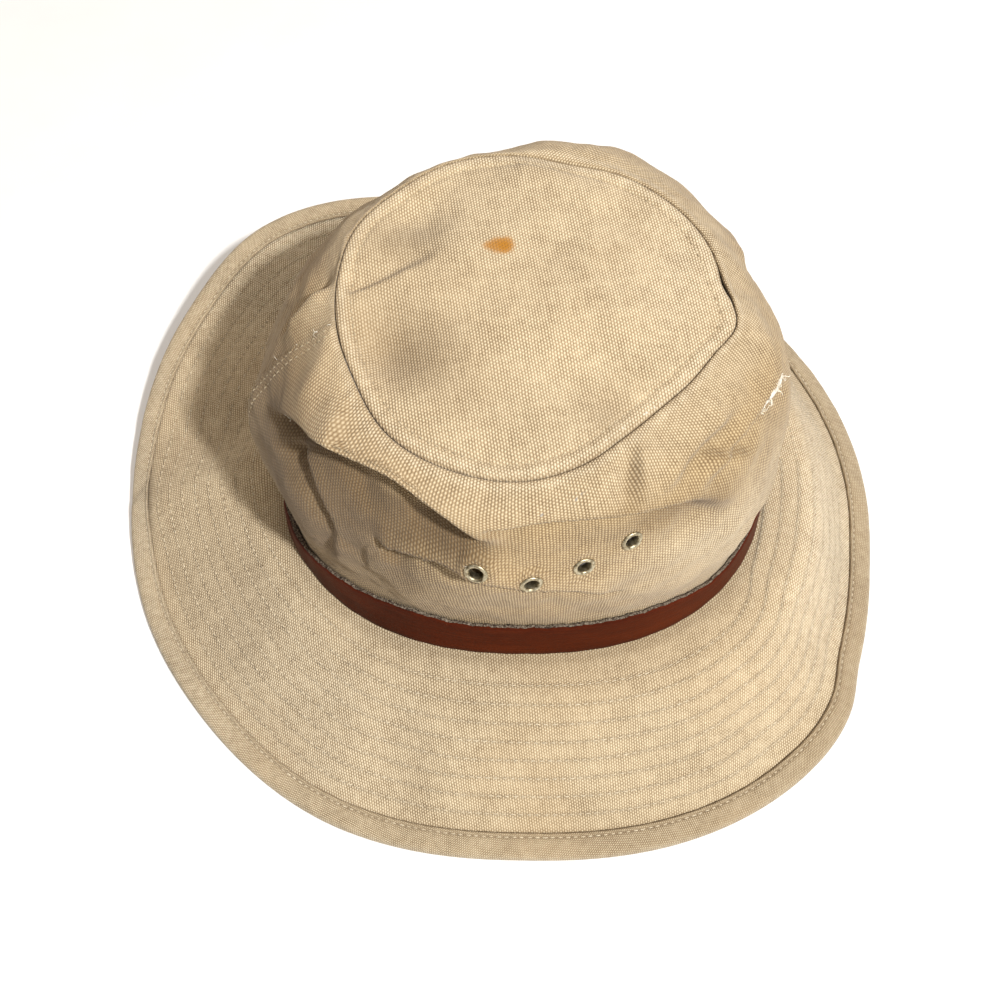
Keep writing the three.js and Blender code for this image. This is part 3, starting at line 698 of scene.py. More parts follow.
def build_side(material):
    a, h = np.meshgrid(side_angles[:-1], side_heights, indexing="ij")
    outer, breaks = crown_side(a, h)
    level = smooth(SIDE_HEIGHT - 4, SIDE_HEIGHT - 1, h)[..., None]   # both layers run level at the seam
    inner = offset_inwards(outer, CANVAS) * (1 - level) + (outer - UP * CANVAS) * level
    gone = cut_holes(a, h, outer, inner)
    walls = hole_walls(gone)
    columns, rows = gone.shape
    faces, mapped = ring_faces(columns, 2 * rows)
    kept = ~np.concatenate([gone, np.roll(gone[:, ::-1], -1, 1)], 1).ravel()
    # lengths on the flat pattern of the side, a fan centred on the wearer's right
    lean = np.radians((side_angles[:, None] - FABRIC_MIDDLE) * FABRIC_FAN)
    reach = FABRIC_APEX - side_heights
    uv = fabric_map(reach * np.sin(lean), FABRIC_APEX - reach * np.cos(lean), FABRIC_TURN["side"])
    uv = two_layers(uv, uv).reshape(-1, 2)
    corners = np.concatenate([uv[mapped[kept]].reshape(-1, 2), np.tile(uv[0], (walls.size, 1))])
    used, index = np.unique(np.concatenate([faces[kept], walls]).ravel(), return_inverse=True)
    soil, plain = side_soil_and_shade(a, h, breaks), 0 * h
    welt = 0.5 * bump_at(SIDE_HEIGHT - h, 2.6, 1.4)
    # painted shade: the side darker below its shoulder, less so low on the lit front right
    aged = (1 - 0.75 * smooth(88, 110, h)) * (1 - 0.8 * near_angle(a, 318, 34) * (1 - smooth(52, 76, h)))
    values = [("soil", soil, soil), ("worn", welt, plain), ("scuff", side_scuff(a, h), plain),
              ("mark", side_mark(a, h), plain), ("aged", aged, aged)]
    return make_mesh("crown_side_cloth", two_layers(outer, inner).reshape(-1, 3)[used],
                     index.reshape(-1, 4).tolist(), material, maps=[("Fabric", corners)],
                     values=[(label, two_layers(*pair).reshape(-1)[used]) for label, *pair in values])


def spot(angle, height, at, reach_round, reach_up):
    return blob(over_side(angle, at[0]), height - at[1], reach_round, reach_up)


# Patches of painted shade on the side: strength, angle and height, reach round the hat and up.
SIDE_SHADE_PATCHES = [
    (0.5, (256, 81), 12, 6), (0.45, (196, 84), 16, 22), (1.3, (228, 77), 26, 10),
    (0.55, (208, 70), 16, 18), (1.0, (246, 81), 15, 6), (1.25, (217, 54), 36, 30),
    (0.22, (262, 36), 50, 14), (0.55, (273, 95), 26, 3.5), (0.75, (303, 75), 22, 8),
]


def seam_soil_and_shade(distance, angle):
    """Dirt and painted shade in the ditch of the tip seam, less of it on the far side."""
    return 0.45 * bump_at(distance, 0, 0.7) * (1 - 0.7 * near_angle(angle, 50, 85))


def side_soil_and_shade(angle, height, breaks):
    """Dirt and painted shade in the seam, in folds and just above the band, and painted shade in patches
    over the side.
    """
    foot = 0.35 * (1 - smooth(20, 34, height))
    patches = sum(strength * spot(angle, height, *where) for strength, *where in SIDE_SHADE_PATCHES)
    soil = seam_soil_and_shade(SIDE_HEIGHT - height, angle) + 0.45 * np.abs(breaks) + foot + patches
    return np.clip(soil, 0, 1.3)


def side_scuff(angle, height):
    """White frayed line on the front shoulder, and a nick at the back."""
    middle = 342
    line = curve_points([(334, 86.4), (339, 86.2), (344, 84.4), (349, 83.4)])
    flat = np.stack([over_side(line[:, 0], middle), line[:, 1]], -1)
    d, along = distance_to(flat, over_side(angle, middle), height)
    ends = smooth(0, 0.15, along) * smooth(0, 0.15, 1 - along)
    return np.clip(bump_at(d, 0, 1.7) * ends + spot(angle, height, (204, 86.5), 1.1, 0.9), 0, 1)


def side_mark(angle, height):
    """Two short, faint rows of bluish dashes that rise to the right."""
    total = np.zeros(np.broadcast(angle, height).shape)
    for at, rise in ((272, 106), (281, 108.5)):
        u = over_side(angle, at)
        row = bump_at(height - 0.25 * u, rise, 0.75) * np.exp(-((u / 3.6) ** 4))
        total = total + row * (0.55 + 0.45 * np.cos(u * 2.6 + at))
    return total


# ---- crown tip
def tip_soil_and_shade(angle, inward, x, y, breaks):
    """Dirt and painted shade of the tip in its seam, its slit, its folds and its topstitching, darker
    patches at the back, and towards the side shown a broad painted shade and a small darker patch.
    """
    soil = np.clip(seam_soil_and_shade(inward, angle) + 0.5 * slit(angle) * np.exp(-inward / 1.2)
                   + 0.35 * np.abs(breaks) + 0.12 * bump_at(inward, TIP_ROW, 0.7), 0, 1)
    along = (x + 40) * 0.76 - (y + 17) * 0.65
    across = (x + 40) * 0.65 + (y + 17) * 0.76
    soil = soil + 0.62 * blob(along, across, 21, np.where(across < 0, 8, 15))
    soil = np.clip(soil + 0.5 * blob(x + 40, y - 23, 11, 9), 0, 1)
    return soil + 0.14 * blob(x - 2, y + 42, 30, 18) + 0.34 * blob(x - 22, y + 42, 6, 8)


def tip_scratch(x, y):
    """Pale scratch beside the front edge, towards the side shown."""
    line = curve_points([(18.5, -49), (28, -42.5), (38.9, -34)])
    d, along = distance_to(line, x, y)
    return 0.45 * bump_at(d, 0, 0.8) * smooth(0, 0.1, along) * smooth(0, 0.1, 1 - along)


def build_tip(material):
    angles = biased_angles(384, 0.25)
    rings = np.concatenate([np.linspace(0, 6.3, 19), np.linspace(7.4, 51, 38), [53, 55]])
    a, d = np.meshgrid(angles[:-1], rings, indexing="ij")
    full = tip_radius(a)
    # the last rings close up on the middle, wherever that is
    inward = np.where(d > 45, 45 + (full - 45.6) * np.clip((d - 45) / 10, 0, 1), d)
    inward = np.minimum(inward, full - 0.5)
    top, breaks = tip_point(a, inward)
    columns, rows = a.shape
    count = 2 * rows
    points = two_layers(top, top - UP * CANVAS).reshape(-1, 3)
    middle = top[:, -1].mean(0)
    faces = ring_faces(columns, count)[0]
    faces = faces[np.tile(np.arange(count), columns) != rows - 1]
    # triangles to the two middle points, which come last
    here = np.arange(columns)[:, None] * count + rows
    ahead = np.roll(here, -1, 0)
    top_id, under_id = len(points) + 0 * here, len(points) + 1 + 0 * here
    caps = np.hstack([here - 1, ahead - 1, top_id, ahead, here, under_id]).reshape(-1, 3)
    x, y = ((full - inward) * part for part in compass(a))
    uv = fabric_map(x, y, FABRIC_TURN["tip"])
    uv = np.concatenate([two_layers(uv, uv).reshape(-1, 2), np.zeros((2, 2))])
    stain = blob(x + 10.6, y - 19, 5.2, 3.4) + 0.8 * blob(x + 8.4, y - 18.6, 1.6, 2.2)
    # paler where rubbed on the welt beside the seam, and painted light towards the tip's front
    worn = np.clip(0.5 * bump_at(inward, 2.2, 1.2) + 0.5 * blob(x - 44, y - 12, 20, 26), 0, 1)
    values = [("soil", tip_soil_and_shade(a, inward, x, y, breaks)), ("worn", worn), ("stain", stain),
              ("scuff", tip_scratch(x, y))]

    def on_top(value):
        return np.concatenate([two_layers(value, 0 * value).reshape(-1), [value[:, -1].mean(), 0]])

    return make_mesh("crown_tip_cloth", np.vstack([points, middle, middle - UP * CANVAS]),
                     faces.tolist() + caps.tolist(), material,
                     maps=[("Fabric", uv[np.concatenate([faces.ravel(), caps.ravel()])])],
                     values=[(label, on_top(value)) for label, value in values])


# ---- brim, tape and band
def press(points, lowest):
    points[..., 2] = np.maximum(points[..., 2], lowest)
    return points


def flat_brim(angle, distance):
    """A point of the brim's pattern, laid flat."""
    angle = angle + 0 * distance
    return head_point(angle) + head_out(angle) * distance[..., None]


def section_grid(section, angle):
    """The two measures of a cross-section, repeated at every angle."""
    first, second = np.array(section, float).T
    return first + 0 * angle, second + 0 * angle


def build_brim(material):
    a = brim_angles[:, None]
    width = brim_width(a)
    quilted = ROWS * ROW_PITCH
    root = width - TAPE_WIDTH + CANVAS
    # distances in from the tape: under it, across the stitch rows, and on to the crown
    inward = np.concatenate([
        np.array([-7.8, -5.5, -2.5, -0.8]) + 0 * a, np.linspace(0, quilted, 49) + 0 * a,
        quilted + (root - quilted) * np.linspace(0, 1, 9)[1:]], 1)
    distance = width - TAPE_WIDTH - inward
    level = BRIM_CANVAS / 2 + quilting(inward) * (inward > 0) * smooth(0, 1.2, inward)
    top = press(brim_point(a, distance, level), PRESSED_BRIM)
    under = press(brim_point(a, distance, -level), PRESSED_BRIM)
    flat = flat_brim(a, distance)
    uv = fabric_map(flat[..., 0], flat[..., 1], FABRIC_TURN["brim"])
    run = np.stack([running_length(flat), inward], -1) * 0.001
    # dirt and painted shade in the corner at the crown's foot and along the tape's edge
    soil = np.clip(0.5 * bump_at(distance, 3.5, 2.5) + 0.5 * bump_at(inward, 0, 0.9), 0, 1)
    # painted light: paler patches at the front, at the back right and, away from the crown, at the back
    # left
    worn = (1.15 * near_angle(a, 350, 28) + 0.60 * near_angle(a, 226, 26)
            + 1.30 * near_angle(a, 125, 32) * smooth(20, 48, distance))
    worn = worn * (0.5 + 0.5 * smooth(5, 30, distance))

    def wrap(first, second):
        return two_layers(first[:, ::-1], second[:, ::-1])

    return make_ring("brim_cloth", wrap(top, under), [("Fabric", wrap(uv, uv)), ("Rows", wrap(run, run))],
                     [("soil", wrap(soil, soil)), ("worn", wrap(worn, worn))], material)


def build_binding(material):
    """Bias tape folded round the rim, plump between its stitching and its fold."""
    # section, as (distance in from the rim, height over the middle layer)
    top = [(d, TAPE_OUTSIDE + rise) for d, rise in (
        (9.85, -0.2), (9.5, 0), (9.0, 0.02), (8.6, -0.18), (TAPE_ROW, -0.34), (8.0, -0.18), (7.5, 0.06),
        (6.5, 0.16), (5.3, 0.2), (4.1, 0.16), (3.0, 0.06), (2.1, -0.16))]
    top = [(10.0, TAPE_INSIDE + 0.25)] + top + [
        (1.3, TAPE_OUTSIDE * 0.72), (0.75, TAPE_OUTSIDE * 0.42), (0.5, 0.12)]
    outer = top + [(d, -z) for d, z in top[::-1]]
    under = [(9.9, -TAPE_INSIDE), (7, -TAPE_INSIDE), (4, -TAPE_INSIDE), (2.2, -TAPE_INSIDE),
             (1.4, -TAPE_INSIDE * 0.6)]
    inner = under + [(1.2, 0)] + [(d, -z) for d, z in under[::-1]]
    a = brim_angles[:, None]
    width = brim_width(a)

    def past_join(inset):
        """Distance past the join of the tape's two ends, which is cut on the slant."""
        return turn_from(a, TAPE_JOIN) * 1.9 + (inset - 5) * 0.8

    inset, level = section_grid(outer, a)
    arc = np.radians(a) * 160
    lap = 0.45 * smooth(-0.6, 0.6, past_join(inset)) * (1 - smooth(9, 14, past_join(inset)))
    ripple = 0.1 * np.sin(arc / 1.9 + inset * 0.5) + 0.12 * np.sin(arc / 3.7 + 2 - inset * 0.35)
    level = level + np.sign(level) * (lap + ripple * smooth(0.4, 1.5, inset))
    outside = press(brim_point(a, width - inset, level), 0.0)
    inset, level = section_grid(inner, a)
    inside = press(brim_point(a, width - inset, level), PRESSED_TAPE)
    section = outer + inner
    inset = section_grid(section, a)[0]
    along = running_length(flat_brim(a, width - 6.0)) + 0 * inset
    across = running_length(np.array(section)) + 0 * inset
    # dirt and painted shade at the slanted join, in the stitch row and along the tape's inner edge, and a
    # darker stretch towards the front right
    soil = np.clip(0.8 * bump_at(past_join(inset), 0, 0.8) + 0.75 * bump_at(inset, TAPE_ROW, 0.45)
                   + 0.6 * bump_at(inset, 10, 0.4) + 0.30 * near_angle(a, 310, 70), 0, 1)
    # paler where rubbed along the rim's edge and on the tape's middle, and painted light along the back
    worn = 0.5 * bump_at(inset, 0, 1.6) + 0.15 * bump_at(inset, 5.5, 2) + 0.7 * near_angle(a, 188, 40)
    return make_ring("brim_binding_cloth", np.concatenate([outside, inside], 1),
                     [("Fabric", fabric_map(along, across, FABRIC_TURN["tape"])),
                      ("Rows", np.stack([along, across], -1) * 0.001)],
                     [("soil", soil), ("worn", worn)], material)


def build_band(material):
    """Leather strap round the foot of the crown, with a raw, uneven top edge."""
    a = biased_angles(400, 0.3, start=BAND_LAP)[:, None]
    # section, as (height, distance off the cloth)
    section = [(0.05, 0.2), (0.1, 1.2), (0.5, 1.65)] + [(h, LEATHER + rise) for h, rise in (
        (1.2, 0), (3, 0.03), (6, 0.05), (9, 0.05), (12, 0.03), (15, 0), (16.6, -0.05), (17.3, -0.2),
        (17.75, -0.5))] + [(17.95, 1.0), (18.0, 0.5), (17.9, 0.1), (16.5, 0), (12, 0), (6, 0), (1, 0)]
    h, away = section_grid(section, a)
    raw = 1.0 * (h > 17.85) + 0.25 * (h == 17.75)
    turn = np.radians(a)
    ragged = 0.28 * np.sin(turn * 61 + 1) + 0.2 * np.sin(turn * 137) + 0.15 * np.sin(turn * 233 + 2)
    height = 0.8 + 2.0 * near_angle(a, 240, 9) - 8.5 * near_angle(a, 206, 13) - 4.0 * near_angle(a, 319, 10)
    h = h + ragged * smooth(16, BAND_HEIGHT, h) + smooth(2, BAND_HEIGHT, h) * height
    past_lap = turn_from(a, BAND_LAP)
    lap_length = np.radians(np.clip(past_lap, 0, 60)) * FOLD_RADIUS
    lap = smooth(-0.01, 0.3, past_lap) * (1 - smooth(10, 26, lap_length))
    away = away + 0.9 * lap * smooth(0.3, 1.0, away) * (past_lap >= 0)
    wavy = 0.06 * np.sin(turn * 45 + h * 0.3) * (away > 1)
    points = plain_side(a, h) + head_out(a + 0 * h) * (GAP + away + wavy)[..., None]
    along = running_length(points[:, 5])[:, None] + 0 * h
    across = running_length(np.array(section)) + 0 * h
    # the band darker along its lower edge: dirt and painted shade where it meets the brim
    return make_ring("hat_band_leather", points, [("Fabric", np.stack([along, across], -1) * 0.001)],
                     [("raw", raw), ("soil", 1 - smooth(0.2, 2.6, h))], material)


def build_eyelet(name, material):
    """Rolled flange, barrel through the cloth, and washer inside."""
    facets = 48
    back = -CANVAS - 0.5      # face of the washer inside
    # section, as (radius, height over the cloth)
    profile = [(2.2, back - 0.45), (2.6, back - 0.55), (2.95, back - 0.4), (3.05, back - 0.1),
               (3.0, back + 0.05), (2.62, back + 0.1), (2.6, back + 0.3), (2.6, -0.35), (2.64, 0.0),
               (3.3, 0.0), (3.55, 0.04), (3.62, 0.2), (3.56, 0.42), (3.35, 0.62), (3.05, 0.74),
               (2.75, 0.74), (2.48, 0.62), (2.28, 0.36), (2.2, 0.05), (2.16, -0.8)]
    centre, normal, run, rise = SEATS[name]
    turn = 2 * math.pi * np.arange(facets) / facets
    radius, level = section_grid(profile, turn[:, None])
    dent = 1 + 0.02 * np.sin(2 * turn + centre[0])[:, None]
    level = level + 0.05 * np.sin(3 * turn + centre[1])[:, None] * (level > 0)
    spoke = np.cos(turn)[:, None, None] * run + np.sin(turn)[:, None, None] * rise
    points = centre + (radius * dent)[..., None] * spoke + normal * (level - 0.12)[..., None]
    faces, _ = ring_faces(facets, len(profile))
    return make_mesh(name + "_brass", points.reshape(-1, 3), faces.tolist(), material)


# ---- stitching and fibres
def make_tubes(name, centre, first, second, size, sides, material):
    """Many short closed tubes in one mesh: rows of centres, with two directions across each."""
    turn = 2 * math.pi * np.arange(sides)[:, None] / sides
    spoke = first[..., None, :] * np.cos(turn) + second[..., None, :] * np.sin(turn)
    points = centre[..., None, :] + spoke * size[:, None, None]
    last = (centre.shape[1] - 1) * sides
    faces = []
    for start in range(0, last, sides):
        for k in range(sides):
            n = (k + 1) % sides
            faces.append([start + k, start + n, start + sides + n, start + sides + k])
    faces += [list(reversed(range(sides))), list(range(last, last + sides))]
    all_faces = [[i * (last + sides) + v for v in face] for i in range(len(centre)) for face in faces]
    return make_mesh(name, points.reshape(-1, 3), all_faces, material)


def build_stitches(name, runs, material, sides=6):
    """Many short thread loops in one mesh. Each run is (points, normals), five stations long."""
    lift = np.array([-0.26, 0.08, 0.16, 0.08, -0.26])
    size = np.array([0.55, 0.9, 1.0, 0.9, 0.55]) * THREAD / 2
    centre, normal = (np.concatenate(part) for part in zip(*runs))
    across = unit(np.cross(normal, unit(np.gradient(centre, axis=1))))
    return make_tubes(name, centre + normal * lift[:, None], across, normal, size, sides, material)


def stitches_along(surface, start, end, seed, pitch=STITCH_PITCH, long=STITCH):
    """Stitch stations along a line. surface(t) gives point and normal for a parameter."""
    rng = np.random.default_rng(seed)
    t = np.linspace(start, end, 3000)
    reach = running_length(surface(t)[0])
    number = int(reach[-1] / pitch)
    shift, stretch = rng.uniform(-0.15, 0.15, number), rng.uniform(-0.2, 0.2, number)
    begin = (np.arange(number) + 0.5) * reach[-1] / number - long / 2 + shift
    stations = begin[:, None] + np.linspace(0, 1, 5) * (long + stretch)[:, None]
    return surface(np.interp(stations, reach, t))


def brim_line(inset, level, lowest, face):
    """A line of the brim by its distance in from the rim. face is +1 above and -1 below."""
    def surface(angle):
        point, normal, _ = surface_frame(lambda a, d: brim_point(a, d, face * level),
                                         angle, brim_width(angle) - inset, 0.3, 0.5)
        return press(point, lowest), normal * -face
    return surface


def brim_row(inward, face):
    level = BRIM_CANVAS / 2 + quilting(np.float64(inward))
    return brim_line(TAPE_WIDTH + inward, level, PRESSED_BRIM, face)


def tape_row(face):
    return brim_line(TAPE_ROW, TAPE_OUTSIDE - 0.34, 0.1, face)


def tip_row(angle):
    return surface_frame(lambda a, d: tip_point(a, d + 0 * a)[0], angle, TIP_ROW, 0.5, 0.6)[:2]


def back_row(across):
    angle = BACK_SEAM + math.degrees(across / FOLD_RADIUS)
    return lambda height: surface_frame(lambda a, h: crown_side(a, h)[0], angle, height, 0.4, 0.4)[:2]


def build_fibres(name, places, material, seed, thick, reach):
    """Loose curling fibres standing off the cloth at the given (point, normal) places."""
    rng = np.random.default_rng(seed)
    t = np.linspace(0, 1, 7)[:, None]
    fibres = []
    for point, normal in places:
        heading = unit(rng.normal(size=3) + normal * 0.25)
        length = rng.uniform(*reach)
        curl = unit(rng.normal(size=3))
        path = (point + heading * length * t + normal * (0.72 * length * t * (1 - t) + 0.06)
                + curl * 0.35 * length * np.sin(t * math.pi * rng.uniform(0.8, 1.8)))
        run = unit(np.gradient(path, axis=0))
        across = unit(np.cross(run, normal + 0.01))
        fibres.append((path, across, np.cross(across, run)))
    path, across, lift = (np.array(part) for part in zip(*fibres))
    return make_tubes(name, path, across, lift, thick / 2 * (1 - 0.6 * t[:, 0]), 5, material)


def side_places(spots, seed, scatter):
    """Scattered (point, normal) places on the side. spots are (angle, height, number)."""
    rng = np.random.default_rng(seed)
    places = []
    for angle, height, number in spots:
        for _ in range(number):
            a = np.float64(angle + rng.normal() * math.degrees(scatter / FOLD_RADIUS))
            h = np.float64(height + rng.normal() * scatter * 0.6)
            places.append(side_frame(a, h, 1.0)[:2])
    return places


# ---- materials
class Value:
    """An output of a shader node, so that sums and products are written as such."""

    def __init__(self, nodes, socket):
        self.nodes, self.socket = nodes, socket

    def __add__(self, other):
        return self.nodes.math("ADD", self, other)

    def __mul__(self, other):
        return self.nodes.math("MULTIPLY", self, other)

    def __sub__(self, number):
        return self + -number


class Nodes:
    """Short way to write a material."""

    def __init__(self, name):
        self.material = bpy.data.materials.new(name)
        self.material.use_nodes = True
        self.tree = self.material.node_tree
        self.tree.nodes.clear()
        self.shader = self.tree.nodes.new("ShaderNodeBsdfPrincipled")
        output = self.tree.nodes.new("ShaderNodeOutputMaterial")
        self.tree.links.new(self.shader.outputs[0], output.inputs[0])

    def put(self, socket, value):
        if isinstance(value, Value):
            self.tree.links.new(value.socket, socket)
        else:
            socket.default_value = value

    def node(self, kind, *values, output=0, inputs=(), **settings):
        """Adds a node, fills its inputs in order or by name, and returns one of its outputs."""
        node = self.tree.nodes.new("ShaderNode" + kind)
        for name, setting in settings.items():
            setattr(node, name, setting)
        for key, value in [*enumerate(values), *dict(inputs).items()]:
            self.put(node.inputs[key], value)
        return Value(self, node.outputs[output])

    def math(self, operation, *values, clamp=False):
        return self.node("Math", *values, operation=operation, use_clamp=clamp)

    def cosine(self, x, period):
        return self.math("COSINE", x * (2 * math.pi / period))

    def step(self, x, start, end):
        return self.node("MapRange", x, start, end, 0.0, 1.0, interpolation_type="SMOOTHSTEP")

    def noise(self, vector, scale, detail=2.0, rough=0.5):
        named = {"Vector": vector, "Scale": scale, "Detail": detail, "Roughness": rough}
        return self.node("TexNoise", output="Fac", inputs=named)

    def vector(self, x, y, z=0.0):
        return self.node("CombineXYZ", x, y, z)

    def place(self):
        return self.node("TexCoord", output="Object")

    def lengths(self, label):
        """A map's two lengths, in millimetres."""
        at = self.node("UVMap", uv_map=label)
        return [self.node("SeparateXYZ", at, output=axis) * 1000.0 for axis in (0, 1)]

    def value(self, label):
        return self.node("Attribute", attribute_name=label, output="Fac")

    def ramp(self, x, stops):
        colour = self.node("ValToRGB", x)
        elements = colour.socket.node.color_ramp.elements
        while len(elements) < len(stops):
            elements.new(0.5)
        for element, (at, shade) in zip(elements, stops):
            element.position = at
            element.color = (*shade, 1.0)
        return colour

    def mix(self, share, first, second, how="MIX"):
        first, second = (c if isinstance(c, Value) else (*c, 1.0) for c in (first, second))
        return self.node("Mix", output=2, inputs={0: share, 6: first, 7: second},
                         data_type="RGBA", blend_type=how)

    def finish(self, colour, roughness, relief=None, **constants):
        """Sets the shader up. relief is in millimetres."""
        self.put(self.shader.inputs["Base Color"], colour)
        self.put(self.shader.inputs["Roughness"], roughness)
        if relief:
            named = {"Strength": 1.0, "Distance": 0.001, "Height": relief}
            self.put(self.shader.inputs["Normal"], self.node("Bump", inputs=named))
        for label, number in constants.items():
            self.shader.inputs[label.replace("_", " ").title().replace("Ior", "IOR")].default_value = number
        return self.material


def weave_height(n, u, v, warp, weft):
    """Plain weave, 0 between the yarns to 1 on top of them, and how thick each yarn is."""
    u = u + (n.noise(n.place(), 220.0) - 0.5) * 0.55
    v = v + (n.noise(n.vector(v, u, 4.0), 0.25) - 0.5) * 0.45
    checks = n.cosine(u, 2 * warp) * n.cosine(v, 2 * weft)
    column = n.math("FLOOR", u * (1 / warp) + 0.5)
    row = n.math("FLOOR", v * (1 / weft) + 0.5)
    thick = n.noise(n.vector(column * 7.31, v * 0.09), 1.0, 1.0)
    thin = n.noise(n.vector(u * 0.09, row * 5.17, 3.3), 1.0, 1.0)
    return n.cosine(u, warp) * 0.24 + 0.5 + checks * 0.30, thick, thin


# Colours of the canvas: painted shade between the yarns, the colour on them, and a painted highlight where
# they catch the light, then what age, wear and dirt have added, with painted shade and painted light among
# them.
GAP_SHADE_COLOUR, YARN_COLOUR, PALE_COLOUR = (0.130, 0.082, 0.040), (0.475, 0.368, 0.228), (0.730, 0.625, 0.440)
WARM_COLOUR, WALL_SHADE_COLOUR = (0.52, 0.36, 0.19), (0.77, 0.70, 0.58)
GRIME_AND_SHADE_COLOUR, ROW_SHADE_COLOUR = (0.130, 0.080, 0.036), (0.24, 0.17, 0.10)
RUBBED_AND_LIT_COLOUR, FRAYED_COLOUR = (0.80, 0.72, 0.56), (0.86, 0.82, 0.74)
INK_COLOUR, RUST_COLOUR = (0.25, 0.29, 0.33), (0.38, 0.160, 0.012)


def canvas_material(name, tint=1.0, rows=False, marks=False, stain=False, tape=False):
    n = Nodes(name)
    place = n.place()
    warp, weft = (0.62, 0.50) if tape else (WARP_PITCH, WEFT_PITCH)
    height, thick, thin = weave_height(n, *n.lengths("Fabric"), warp, weft)
    # shade of the cloth: broad mottling, finer clouds, uneven yarns
    broad = n.noise(place, 24.0, 3.0, 0.55)
    cloud = n.noise(place, 95.0, 3.0, 0.6)
    fine = n.noise(place, 420.0, 2.0, 0.6)
    shade = (height + (thick - 0.5) * 0.20 + (thin - 0.5) * 0.15 + (broad - 0.5) * 0.25
             + (cloud - 0.5) * 0.25 + (fine - 0.5) * 0.30)
    # painted shade in the gaps between the yarns, painted highlight on their tops
    yarns = ((0.05, GAP_SHADE_COLOUR), (0.52, YARN_COLOUR), (0.98, PALE_COLOUR))
    colour = n.ramp(shade, [(at, tuple(tint * c for c in cloth)) for at, cloth in yarns])
    # warm and cool drift of old cotton
    colour = n.mix(n.step(n.noise(place, 14.0), 0.42, 0.70) * 0.16, colour, WARM_COLOUR)
    # dirt and painted shade in seams, folds, hollows and corners
    grime_and_shade = n.math("ADD", n.value("soil") * (cloud * 0.9 + 0.45), 0.0, clamp=True)
    colour = n.mix(grime_and_shade * 0.70, colour, GRIME_AND_SHADE_COLOUR)
    if marks:
        # painted shade over the side below its shoulder
        colour = n.mix(n.value("aged"), colour, WALL_SHADE_COLOUR, "MULTIPLY")
    # paler on the tops of the yarns where the cloth is rubbed, and painted light on lit patches
    worn = n.value("worn") * n.step(height + fine * 0.6, 0.55, 1.05)
    colour = n.mix(worn * 0.55, colour, RUBBED_AND_LIT_COLOUR)
    relief = height * 0.27 + thick * 0.05 + thin * 0.05 + fine * 0.10 + cloud * 0.22
    if marks or stain:
        fray = n.step(n.value("scuff") + (fine - 0.5) * 1.1 + (cloud - 0.5) * 0.5, 0.42, 0.72)
        colour = n.mix(fray * 0.75, colour, FRAYED_COLOUR)
        relief = relief + fray * 0.25
    if marks:
        smudge = n.step(n.value("mark") + (fine - 0.5) * 0.9, 0.30, 0.75)
        colour = n.mix(smudge * 0.45, colour, INK_COLOUR)
    if stain:
        blot = n.step(n.value("stain") + (cloud - 0.5) * 0.9 + (fine - 0.5) * 0.5, 0.25, 0.80)
        colour = n.mix(blot * (n.value("stain") * 0.30 + 0.62), colour, RUST_COLOUR)
    if rows:
        run, inward = n.lengths("Rows")
        away = n.math("ABSOLUTE", n.math("FRACT", inward * (1 / ROW_PITCH) + 0.5) - 0.5) * ROW_PITCH
        inside = n.step(inward, 2.5, 4.0) * (n.step(inward, 55.0, 57.0) * -1.0 + 1.0)
        close = (n.step(away, 0.25, 1.7) * -1.0 + 1.0) * inside
        pucker = n.cosine(run, STITCH_PITCH)
        relief = relief + pucker * close * 0.10 + close * -0.16
        # painted shade in the grooves of the stitch rows
        colour = n.mix(close * (pucker * 0.05 + 0.07), colour, ROW_SHADE_COLOUR)
    return n.finish(colour, 0.92, relief, sheen_weight=0.12, sheen_roughness=0.6, specular_ior_level=0.25)


def leather_material():
    n = Nodes("band_leather")
    place = n.place()
    u, v = n.lengths("Fabric")
    broad = n.noise(n.vector(u * 0.02, v * 0.09, 1.0), 1.0, 3.0, 0.6)
    grain = n.noise(place, 900.0, 3.0, 0.6)
    streak = n.noise(n.vector(u * 0.05, v * 1.4, 5.0), 1.0, 3.0, 0.6)
    pores = n.node("TexVoronoi", output="Distance", inputs={"Vector": place, "Scale": 1400.0})
    colour = n.ramp(broad * 0.5 + grain * 0.25 + streak * 0.3, [
        (0.30, (0.026, 0.0040, 0.0010)), (0.52, (0.060, 0.0085, 0.0014)), (0.75, (0.104, 0.0170, 0.0030))])
    edge = n.step(n.value("raw") + (grain - 0.5) * 0.9, 0.35, 0.65)
    frayed = n.ramp(n.noise(place, 1500.0, 3.0, 0.7),
                    [(0.42, (0.030, 0.024, 0.018)), (0.66, (0.30, 0.26, 0.20))])
    colour = n.mix(edge * 0.85, colour, frayed)
    # dirt and painted shade along the band's lower edge
    colour = n.mix(n.value("soil") * 0.5, colour, (0.025, 0.012, 0.008))
    relief = pores * 0.035 + grain * 0.05 + streak * 0.05 + edge * grain * 0.25
    return n.finish(colour, grain * 0.16 + 0.40 + edge * 0.35, relief, specular_ior_level=0.06)


def brass_material():
    n = Nodes("eyelet_brass")
    place = n.place()
    tarnish = n.noise(place, 700.0, 4.0, 0.65)
    fine = n.noise(place, 3200.0, 2.0, 0.6)
    colour = n.ramp(tarnish * 0.8 + fine * 0.2,
                    [(0.34, (0.16, 0.12, 0.07)), (0.50, (0.46, 0.40, 0.27)), (0.68, (0.74, 0.69, 0.54))])
    return n.finish(colour, tarnish * 0.30 + 0.30, fine * 0.02 + tarnish * 0.04, metallic=1.0)


def thread_material(name, dark, light):
    n = Nodes(name)
    place = n.place()
    strand = n.noise(place, 2600.0, 2.0, 0.6)
    dirt = n.noise(place, 130.0, 3.0, 0.6)
    colour = n.ramp(strand * 0.55 + dirt * 0.45, [(0.34, dark), (0.62, light)])
    return n.finish(colour, 0.85, strand * 0.12, sheen_weight=0.2, specular_ior_level=0.25)


